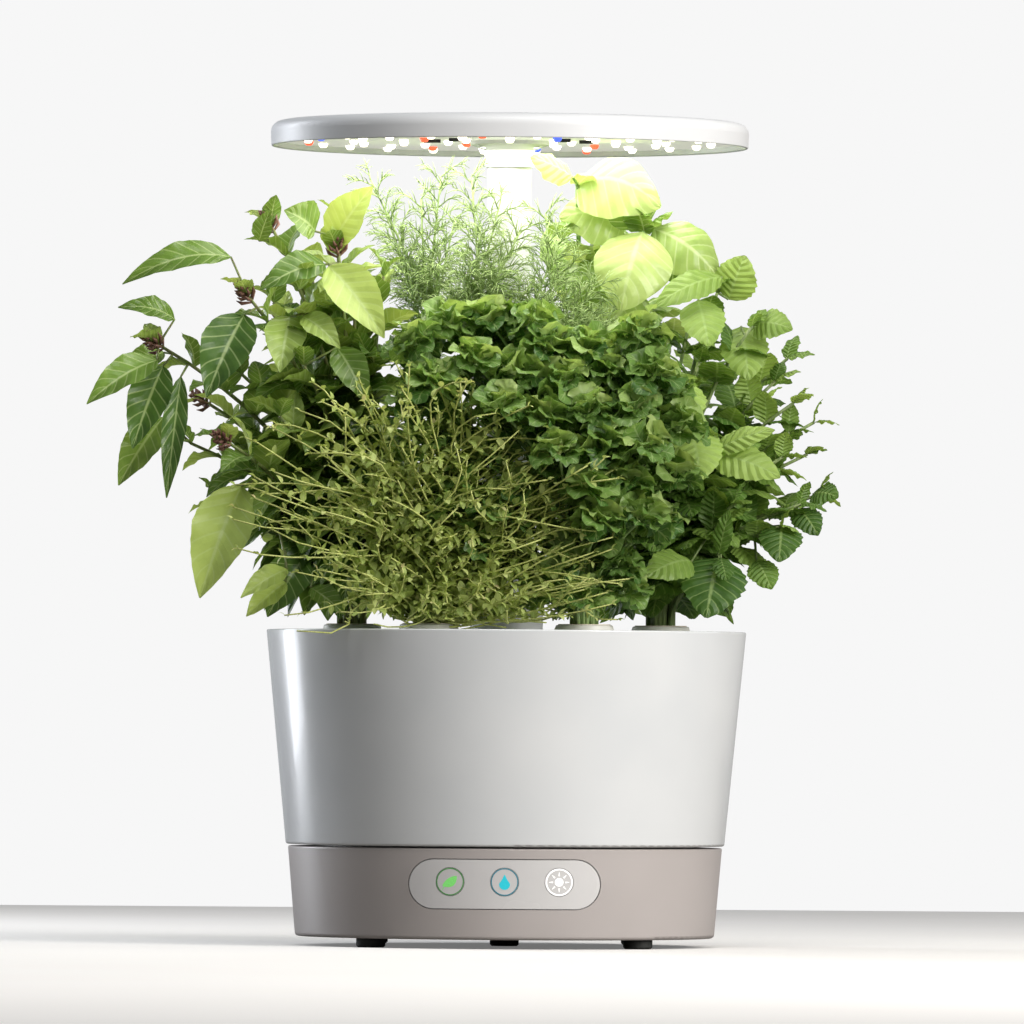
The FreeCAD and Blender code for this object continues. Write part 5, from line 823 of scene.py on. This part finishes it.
class Herb:
    """One herb: the meshes of its blades and of its stems, grown from its pod."""

    def __init__(self, name, pod):
        angle = math.radians(POD_ANGLE * pod)
        self.name = name
        self.pod = Vector((POD_RADIUS * math.cos(angle), POD_RADIUS * math.sin(angle), SPONGE_TOP))
        self.lines = []
        self.blades = ([], [], [], [])
        self.stems = ([], [])
        self.bracts = ([], [])

    def root(self, index):
        angle = index * GOLDEN_ANGLE
        reach = ROOT_SPREAD * math.sqrt((index % ROOTS_PER_TURN + 0.5) / ROOTS_PER_TURN)
        return self.pod + Vector((reach * math.cos(angle), reach * math.sin(angle), 0))

    def add_tube(self, line, radii, sides=7, into=None):
        """Grow a stem or a thread along a line."""
        points, faces = tube(line, radii, sides)
        held = into or self.stems
        first = len(held[0])
        held[0].extend(points)
        held[1].extend(tuple(corner + first for corner in face) for face in faces)

    def grow_stem(self, line, root_radius, tip_radius, sides=7):
        count = len(line) - 1
        self.add_tube(line, [root_radius + (tip_radius - root_radius) * i / count
                             for i in range(count + 1)], sides)
        self.lines.append(line)

    def shoot(self, index, tip, lean, radii, steps, sides=7):
        root = self.root(index)
        rise = max(lean * (tip.z - root.z), LEAST_STEM_RISE)
        line = bezier(root, rise, tip, steps)
        if fits(line, SPONGE_TOP - 1):
            self.grow_stem(line, *radii, sides)

    def blade(self, base, tip, side, width, arch, seed, tone):
        """Grow one leaf, if it has room."""
        points, faces, places = leaf_grid(base, tip, side, width, arch, self.name, seed)
        if not fits(points, LABEL_TOP + 1):
            return False
        first = len(self.blades[0])
        self.blades[0].extend(points)
        self.blades[1].extend(tuple(corner + first for corner in face) for face in faces)
        self.blades[2].extend(places)
        self.blades[3].extend([min(max(tone, 0.0), 1.0)] * len(points))
        return True

    def single_leaf(self, index, base, tip, width, arch, tone):
        """Grow a leaf between two places, with its blade towards the front and the lamp."""
        base, tip = self.pod + Vector(base), self.pod + Vector(tip)
        side = cross_unit(tip - base, LEAF_FACING)
        if not self.blade(base, tip, side, width, arch, index * 1.9, tone):
            return
        stations = [along(line, step / STEM_STATIONS)[0] for line in self.lines
                    for step in range(2, STEM_STATIONS + 1)]
        nearest = min(stations, key=lambda point: (point - base).length)
        if (nearest - base).length > STALK_GAP:
            self.add_tube([nearest, base], STALK_RADII, 6)

    def paired_leaves(self, line, pairs, first, length, width, twist):
        """Grow opposite leaves along a stem, each pair square to the one below."""
        for pair in range(pairs):
            share = pair / (pairs - 1)
            base, heading = along(line, first + (1 - first) * share)
            across = cross_unit(heading, Vector((0, 0, 1)))
            other = cross_unit(across, heading)
            for half in range(2):
                seed = twist + pair * 2.7 + half * 1.3
                turn = math.radians(twist + 90 * pair + 180 * half + 15 * vary(seed))
                lift = math.radians(75 * share - 25 + 10 * vary(seed + 0.4))
                outward = across * math.cos(turn) + other * math.sin(turn)
                reach = outward * math.cos(lift) + heading * math.sin(lift)
                reach.z -= 0.35 * (1 - share)
                reach.normalize()
                size = (1 - 0.6 * share * share) * (1 + 0.12 * vary(seed + 0.8))
                flat = cross_unit(reach, Vector((0, 0, 1)))
                roll = math.radians(25 * vary(seed + 1.1))
                side = flat * math.cos(roll) + flat.cross(reach) * math.sin(roll)
                tone = 0.25 + 0.4 * share + 0.3 * vary(seed + 2.2)
                self.blade(base, base + reach * (length * size), side, width * size,
                           0.12 * length * size, seed, tone)

    def finish(self):
        """Make the herb's objects in place of the CAD plant."""
        slot = self.name + "_leaf"
        made = [piece(self.name + "_stems", *self.stems, finish_of_stem[self.name], "bowl", slot)]
        if self.bracts[0]:
            made.append(piece(self.name + "_bracts", *self.bracts, bract_finish, "bowl", slot))
        if self.blades[0]:
            points, faces, places, tones = self.blades
            made.append(piece(self.name + "_blades", points, faces, finish_of_leaf[self.name],
                              "bowl", slot))
            mesh = made[-1].data
            layer = mesh.uv_layers.new(name="blade")
            corners = np.empty(len(mesh.loops), dtype=int)
            mesh.loops.foreach_get("vertex_index", corners)
            layer.data.foreach_set("uv", np.array(places)[corners].ravel())
            shade = mesh.attributes.new("tone", "FLOAT", "POINT")
            shade.data.foreach_set("value", tones)
        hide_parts("plant_" + self.name)
        for shown in made:
            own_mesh(shown)
        return made


names = ("mint", "basil", "dill", "thai_basil", "thyme", "parsley")
herbs = {name: Herb(name, pod) for pod, name in enumerate(names)}
print("pods at", {name: [round(value) for value in herb.pod] for name, herb in herbs.items()})

# %% [markdown]
# ## Broad-leaved herbs
# Thai basil leans left with long, folded leaves and dark purple flower tips, Genovese basil rises at
# the back right with big puckered leaves close under the lamp, and mint hangs over the right
# rim with wrinkled, toothed ones. The stems come first, then the biggest leaves at their own places,
# then the pairs.

# %% Grow the basils and the mint
# Shoots inside each bush, which fill it up between the ones above
INNER_SHOOTS = {
    "thai_basil": (
        (-30, 10, 130), (-60, 0, 100), (-18, -32, 92), (-75, 20, 70), (-45, 10, 182), (8, -20, 150),
        (0, 6, 118), (-90, 10, 104), (-35, -20, 162), (-62, -12, 142), (-40, -44, 118), (-14, -8, 176),
        (-52, -34, 84), (-24, 24, 196), (0, -10, 186), (-30, -34, 188), (-10, 14, 226), (16, -14, 196),
    ),
    "basil": ((10, -30, 170), (30, -45, 192), (0, -55, 206), (48, -40, 162), (20, -60, 150)),
    "mint": (
        (45, -10, 122), (20, -20, 150), (50, 0, 98), (8, -32, 92), (70, -15, 112), (40, -40, 72),
        (14, -10, 170), (60, 20, 92), (0, -24, 128), (84, 10, 118), (72, -20, 128), (80, -10, 100),
        (66, -28, 98), (76, -30, 72), (62, -12, 140),
    ),
}
# Leaves given the palest tone, and leaves given the darkest
PALE_LEAVES = {"thai_basil": (0, 4, 15, 16, 17), "basil": (0, 1, 3), "mint": (5, 6, 7, 8)}
DARK_LEAVES = {"thai_basil": (3, 9, 14), "basil": (), "mint": (10, 13)}
# Each row: tips, big leaves, a stem's radius at root and tip, a stem's pairs of leaves (how many,
# from which share of the stem, length and width in mm) and the twist from stem to stem
broad = (
    ("thai_basil", THAI_BASIL_SHOOTS, THAI_BASIL_LEAVES, (1.8, 0.9), (9, 0.2, 48, 29), 37),
    ("basil", BASIL_SHOOTS, BASIL_LEAVES, (2.2, 1.2), (7, 0.24, 50, 40), 53),
    ("mint", MINT_SHOOTS, MINT_LEAVES, (1.7, 0.9), (8, 0.2, 38, 28), 41),
)
for name, tips, leaves, radii, pairs, twist in broad:
    herb = herbs[name]
    for index, tip in enumerate(tips + INNER_SHOOTS[name]):
        herb.shoot(index, herb.pod + Vector(tip), 0.62, radii, 12)
    for index, (base, tip, width, arch) in enumerate(leaves):
        tone = 0.55 + 0.4 * vary(index * 3.1 + twist)
        tone = 1.0 if index in PALE_LEAVES[name] else 0.1 if index in DARK_LEAVES[name] else tone
        herb.single_leaf(index, base, tip, width, arch, tone)
    for index, line in enumerate(herb.lines):
        herb.paired_leaves(line, *pairs, twist * index)
    print(name, len(herb.lines), "stems,", len(herb.blades[0]), "points in its leaves")

# %% [markdown]
# ## Flower tips of the Thai basil
# Where Thai basil is about to flower, its tips carry a short spike of purple-brown bracts in
# crossed pairs. Each bract is a small curved horn, made by the same tube as a stem.

# %% Add the bracts
thai_basil = herbs["thai_basil"]
BRACT_TIPS = (3, 1, 0, 2, 6, 7, 4)
BRACTS = 22
BRACT_SPACING = 0.62
SPIKE_START = 4
BRACT_LENGTH = 8.5
BRACT_TAPER = 0.26
for index in BRACT_TIPS:
    if index >= len(thai_basil.lines):
        continue
    end, heading = along(thai_basil.lines[index], 1.0)
    across = cross_unit(heading, Vector((0, 1, 0.2)))
    other = cross_unit(across, heading)
    for step in range(BRACTS):
        angle = step * GOLDEN_ANGLE
        outward = across * math.cos(angle) + other * math.sin(angle)
        start = end + heading * (step * BRACT_SPACING - SPIKE_START)
        reach = BRACT_LENGTH - BRACT_TAPER * step
        tip = start + outward * reach * 0.8 + heading * reach * 0.75
        middle = (start + tip) / 2 + outward * reach * 0.22
        horn = [start, middle, tip]
        if fits(horn, LABEL_TOP + 1):
            thai_basil.add_tube(horn, [0.5, 1.1, 0.15], 5, thai_basil.bracts)
print(len(thai_basil.bracts[1]), "bract faces")

# %% [markdown]
# ## Dill
# Dill is all threads: a hollow stem, ribs that fan out from it, and on each rib finer and finer
# threads, the last ones about 0.6 mm thick. Each thread is a thin curved tube with three sides,
# because at this size nobody can see more.

# %% Grow the dill
def thread(herb, start, reach, droop, radius):
    """A fine curved thread that droops at its end."""
    middle = start + reach * 0.5 + Vector((0, 0, droop * 0.3))
    end = start + reach - Vector((0, 0, droop))
    if fits((middle, end), LABEL_TOP + 1):
        herb.add_tube([start, middle, end], [radius, radius * 0.8, radius * 0.4], 3)
    return [start, middle, end]


FROND_NODES = 30
RIB_STEPS = 10
RIB_RADIUS, RIB_RADIUS_LOSS = 0.95, 0.05
THREADS_PER_NODE = 9
SIDE_RIB_RADIUS, THREAD_RADIUS = 0.5, 0.32
dill = herbs["dill"]
for stem_line, ends in zip(DILL_STEMS, DILL_FRONDS):
    line = [Vector(point) for point in stem_line]
    dill.grow_stem(line, 1.9, 1.2)
    for index, end in enumerate(ends):
        start = along(line, STEM_END - 0.12 * (index % 3))[0]
        end = Vector(end)
        middle = (start + end) * 0.5 + Vector((0, 0, 0.12 * (end - start).length))
        rib = bezier(start, 0, end, RIB_STEPS)
        for step, point in enumerate(rib):
            share = step / RIB_STEPS
            lift = 0.48 * (middle - (start + end) / 2).z * share * (1 - share) * 4
            rib[step] = point + Vector((0, 0, lift))
        dill.add_tube(rib, [RIB_RADIUS - RIB_RADIUS_LOSS * step for step in range(RIB_STEPS + 1)], 5)
        for node in range(FROND_NODES):
            share = 0.2 + 0.8 * node / (FROND_NODES - 1)
            base, heading = along(rib, share)
            across = cross_unit(heading, Vector((0, 0, 1)))
            other = cross_unit(across, heading)
            seed = index * 7.7 + node * 1.37
            turn = node * GOLDEN_ANGLE + index
            outward = across * math.cos(turn) + other * math.sin(turn)
            reach = (outward + heading * 0.9).normalized() * (24 - 9 * share) * (1 + 0.2 * vary(seed))
            side_rib = thread(dill, base, reach, 2.0, SIDE_RIB_RADIUS)
            for pinna in range(THREADS_PER_NODE):
                foot, way = along(side_rib, 0.2 + 0.09 * pinna)
                spread = cross_unit(way, Vector((vary(seed + pinna), vary(seed + pinna * 2.1), 0.6)))
                spread = spread * (1 if pinna % 2 else -1)
                hair = (spread * 0.7 + way * 0.85).normalized() * (10.5 - 0.6 * pinna)
                thread(dill, foot, hair, 1.0, THREAD_RADIUS)
print(len(dill.stems[1]), "dill faces")

# %% [markdown]
# ## Parsley
# Curly parsley has a leaf at the end of each stalk that is crimped into a ball. Here each ball is a
# spray of short leaflets round the end of its stalk, and each leaflet has deep teeth and a
# strong wave, so that the balls run into one another as they do on the plant.

# %% Grow the parsley
PARSLEY_FRONT = 105
PARSLEY_FRONT_HEIGHT = 250
PARSLEY_RISE = 95
PARSLEY_TOP_SETBACK = 40


def parsley_end(x, height):
    """Parsley bulges to the front in the middle of its height."""
    rise = (height - PARSLEY_FRONT_HEIGHT) / PARSLEY_RISE
    back = PARSLEY_TOP_SETBACK * max(0, rise) ** 2
    return Vector((x, -PARSLEY_FRONT + back + 6 * vary(x + height), height))


BALL_LEAFLETS = 24
LEAFLET_LENGTH = 16.5
# Ends of more stalks behind the front ones, which close the gaps towards the mast and the mint
PARSLEY_INNER_ENDS = (
    (-50, 300), (-30, 286), (-10, 270), (5, 254), (-27, 262), (-46, 280), (12, 234), (28, 214),
    (60, 214), (82, 236), (92, 262), (94, 288), (88, 308), (-8, 244), (2, 214), (22, 196),
    (-16, 226), (42, 194), (-34, 244), (64, 200),
)
parsley = herbs["parsley"]
for ends, depth in ((PARSLEY_ENDS, 0), (PARSLEY_ENDS, 26), (PARSLEY_INNER_ENDS, 22)):
    for index, end in enumerate(ends):
        tip = parsley_end(*end) + Vector((0, depth, -depth / 4))
        parsley.shoot(index, tip, 0.6, (1.3, 0.8), 8)
for number, line in enumerate(parsley.lines):
    centre = line[-1]
    for index in range(BALL_LEAFLETS):
        seed = number * 1.7 + index * 0.61
        turn = index * GOLDEN_ANGLE + number * 1.7
        height = 1 - 1.6 * (index + 0.5) / BALL_LEAFLETS
        level = math.sqrt(1 - height * height)
        reach = Vector((level * math.cos(turn), level * math.sin(turn), height))
        size = LEAFLET_LENGTH * (1 + 0.22 * vary(seed))
        start = centre + reach * (3 + 2.5 * vary(seed + 3))
        side = cross_unit(reach, Vector((vary(seed + 0.3), vary(seed + 0.7), 1)))
        # Leaflets that point up get a paler tone: painted light, as from the lamp above. The rest of the
        # tone varies at random.
        tone = 0.35 + 0.35 * height + 0.3 * vary(seed + 5)
        parsley.blade(start, centre + reach * size, side, 0.95 * size, 0.12 * size, seed, tone)
print(len(parsley.lines), "stalks,", len(parsley.blades[1]), "leaflet faces")

# %% [markdown]
# ## Thyme
# Thyme spills over the front rim: wiry stems 1.5 mm thick at the root and less than 1 mm at the
# tip, with pairs of olive leaves as small as rice grains, some of them turning pink and brown.

# %% Grow the thyme
def wiry(line, seed):
    """The same line with the loops and kinks of a wiry sprig."""
    bent = []
    for step, point in enumerate(line):
        share = step / (len(line) - 1)
        swing = (11 + 3 * vary(seed)) * share ** 0.7
        pace = 8 + 4 * vary(seed + 0.5)
        bent.append(point + Vector((swing * math.sin(seed * 3 + share * pace),
                                    0.5 * swing * math.sin(seed * 5 + share * 8),
                                    swing * math.cos(seed * 7 + share * (pace - 2)))))
    return bent


GRID_STEP = 11.5
GRID_LEFT, GRID_LOW = -140, 186
GRID_COLUMNS, GRID_ROWS = 18, 11
RIM_SPRIGS, RIM_STEP = 20, 9
thyme = herbs["thyme"]
ends = [Vector((x, -108 + 20 * vary(x - height), height)) for x, height in THYME_ENDS]
for column in range(GRID_COLUMNS):
    for row in range(GRID_ROWS):
        x, height = GRID_LEFT + GRID_STEP * column, GRID_LOW + GRID_STEP * row
        top = 262 + 48 * math.sin(math.pi * min(max((x + 150) / 190, 0), 1))
        if height > top or (height < 230 and x < -1.6 * (height - GRID_LOW) - 60 and x < -105):
            continue
        seed = column * 1.9 + row * 3.3
        if x > -30:
            ends.append(Vector((x + 7 * vary(seed + 4), -88 + 8 * vary(seed + 5), height + 5)))
        ends.append(Vector((x + 5 * vary(seed), -106 + 14 * vary(seed + 1),
                            height + 5 * vary(seed + 2))))
for column in range(RIM_SPRIGS):
    x = -116 + RIM_STEP * column
    ends.append(Vector((x, -114 + 6 * vary(column * 1.3), 190 + 6 * vary(column * 2.1))))
for index, tip in enumerate(ends):
    root = thyme.root(index)
    line = wiry(bezier(root, max(0.7 * (tip.z - root.z), 12), tip, 14), index)
    if fits(line[1:], SPONGE_TOP - 1):
        thyme.grow_stem(line, 0.75, 0.42, 5)
for index, line in enumerate(thyme.lines):
    thyme.paired_leaves(line, 13, 0.25, 9.5, 5.6, 29 * index)
print(len(thyme.lines), "sprigs,", len(thyme.blades[1]), "leaf faces")

# %% Finish the herbs
for herb in herbs.values():
    for shown in herb.finish():
        print(shown.name, sum(len(face.vertices) - 2 for face in shown.data.polygons), "triangles")

# %% [markdown]
# ## Floor, light and camera
# The garden stands on a plain pale floor in soft daylight from the right, with a narrow bright
# edge on the left and a weaker lamp overhead. Under the hood a disc lamp does the work of the
# little lamps: it lights the herbs from above and leaves the lower leaves darker. The camera stands
# seven metres away with a long lens, a little above the base and tilted up by less than a degree,
# so that the rims look almost flat. It leans by 0.4 degrees, as the rims in the photo do.

# %% Floor
PATCHES_PER_METRE = 3.0  # unevenness of the floor, about 330 mm from patch to patch
FLOOR_GLOW = 0.16


def floor_finish():
    """A pale painted floor with a hardly visible unevenness."""
    material, tree, shader = new_material("matte_pale_floor_paint", Roughness=0.7)
    place = add(tree, "TexCoord").outputs["Object"]
    uneven = add(tree, "TexNoise", {"Vector": place, "Scale": PATCHES_PER_METRE})
    pale = add(tree, "ValToRGB", {"Fac": uneven.outputs["Fac"]},
               [(NOISE_LOW, "#e9e7e4"), (NOISE_HIGH, "#eeece9")])
    # Pale to the camera only: a floor as pale as that to every ray would light the bowl from below
    seen = add(tree, "LightPath").outputs["Is Camera Ray"]
    tint = add(tree, "Mix", {"Factor": seen, "A": linear("#77736e"), "B": pale.outputs["Color"]},
               data_type="RGBA")
    glow = add(tree, "Math", {0: seen, 1: FLOOR_GLOW}, operation="MULTIPLY")
    join(tree, shader, {"Base Color": tint.outputs["Result"], "Emission Color": linear("#ffffff"),
                        "Emission Strength": glow.outputs[0]})
    return material


FLOOR_WIDTH = 4.0
FLOOR_FRONT = -2.4
FLOOR_BACK = 1.5
FLOOR_CELLS = 12
across_floor = np.linspace(-FLOOR_WIDTH / 2, FLOOR_WIDTH / 2, FLOOR_CELLS + 1)
along_floor = np.linspace(FLOOR_FRONT, FLOOR_BACK, FLOOR_CELLS + 1)
floor_points = [(x, y, 0.0) for y in along_floor for x in across_floor]
floor_faces = []
for row in range(FLOOR_CELLS):
    for column in range(FLOOR_CELLS):
        corner = row * (FLOOR_CELLS + 1) + column
        floor_faces.append((corner, corner + 1, corner + FLOOR_CELLS + 2, corner + FLOOR_CELLS + 1))
floor_mesh = bpy.data.meshes.new("floor")
floor_mesh.from_pydata(floor_points, [], floor_faces)
floor_mesh.materials.append(floor_finish())
floor = show("floor", floor_mesh)
print("floor", FLOOR_WIDTH, "m wide")

# %% Lights
LAMP_TARGET_HEIGHT = 0.22
GROW_LAMP_WIDTH = 0.236
GROW_LAMP_DROP = 0.0035
SKY_STRENGTH = 0.13
SKY_IN_GLOSS = 0.3


def soft_lamp(name, shape, power, colour):
    """A lamp with an area, as an object."""
    data = bpy.data.lights.new(name, "AREA")
    data.shape = shape
    data.energy = power
    data.color = linear(colour)[:3]
    return show(name, data)


def area_lamp(name, azimuth, elevation, distance, size, power, colour):
    """A soft box at an azimuth from the front, aimed at the middle of the garden."""
    lamp = soft_lamp(name, "RECTANGLE", power, colour)
    lamp.data.size, lamp.data.size_y = size
    turn, rise = math.radians(azimuth), math.radians(elevation)
    target = Vector((0, 0, LAMP_TARGET_HEIGHT))
    offset = Vector((math.sin(turn) * math.cos(rise), -math.cos(turn) * math.cos(rise), math.sin(rise)))
    lamp.location = target + offset * distance
    lamp.rotation_mode = "QUATERNION"
    lamp.rotation_quaternion = (-offset).to_track_quat("-Z", "Y")


area_lamp("window_right", 50, 20, 2.2, (0.9, 1.3), 50, "#fffaf4")
area_lamp("edge_left", -124, 10, 1.3, (0.35, 1.1), 13, "#f4f8ff")
area_lamp("ceiling", 6, 58, 2.4, (1.2, 0.9), 20, "#ffffff")

grow_lamp = soft_lamp("grow_light", "DISK", 0.75, "#fff9ee")
grow_lamp.data.size = GROW_LAMP_WIDTH
grow_lamp.location = (0, 0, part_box("led_board")[0].z - GROW_LAMP_DROP)
grow_lamp.visible_camera = False
grow_lamp.parent = frame["bodies"]["hood"]

world = bpy.data.worlds.new("plain_studio")
bpy.context.scene.world = world
world.use_nodes = True
sky = world.node_tree
ground = sky.nodes["Background"]
join(sky, ground, {"Color": linear("#eef1f4"), "Strength": SKY_STRENGTH})
seen = add(sky, "Background", {"Color": linear("#f7f7f7"), "Strength": 1.0})
# The camera sees a bright wall, a reflection sees a part of it, and the garden is lit by the dim sky
rays = add(sky, "LightPath").outputs
direct = add(sky, "Math", {0: rays["Is Camera Ray"], 1: rays["Is Transmission Ray"]},
             operation="MAXIMUM")
gloss = add(sky, "Math", {0: rays["Is Glossy Ray"], 1: SKY_IN_GLOSS}, operation="MULTIPLY")
chosen = add(sky, "Math", {0: direct.outputs[0], 1: gloss.outputs[0]}, operation="MAXIMUM")
both = add(sky, "MixShader", {"Fac": chosen.outputs[0], 1: ground.outputs["Background"],
                              2: seen.outputs["Background"]})
join(sky, sky.nodes["World Output"], {"Surface": both.outputs["Shader"]})
print("lamps set")

# %% Camera
CAMERA_DISTANCE = 7.369
CAMERA_HEIGHT = 0.1225
FOCAL_PIXELS = 13370
PICTURE_PIXELS = 1024
CAMERA_SIDE = 0.0034
CAMERA_TILT, CAMERA_LEAN = 0.907, -0.4
camera_data = bpy.data.cameras.new("camera")
camera_data.sensor_width = 36
camera_data.lens = FOCAL_PIXELS * camera_data.sensor_width / PICTURE_PIXELS
camera_data.clip_end = 50
camera = show("camera", camera_data)
bpy.context.scene.camera = camera
camera.location = (CAMERA_SIDE, -CAMERA_DISTANCE, CAMERA_HEIGHT)
camera.rotation_mode = "XYZ"
camera.rotation_euler = (math.radians(90 + CAMERA_TILT), math.radians(CAMERA_LEAN), 0)
bpy.context.scene.view_settings.view_transform = "Standard"
print("lens", round(camera_data.lens), "mm")
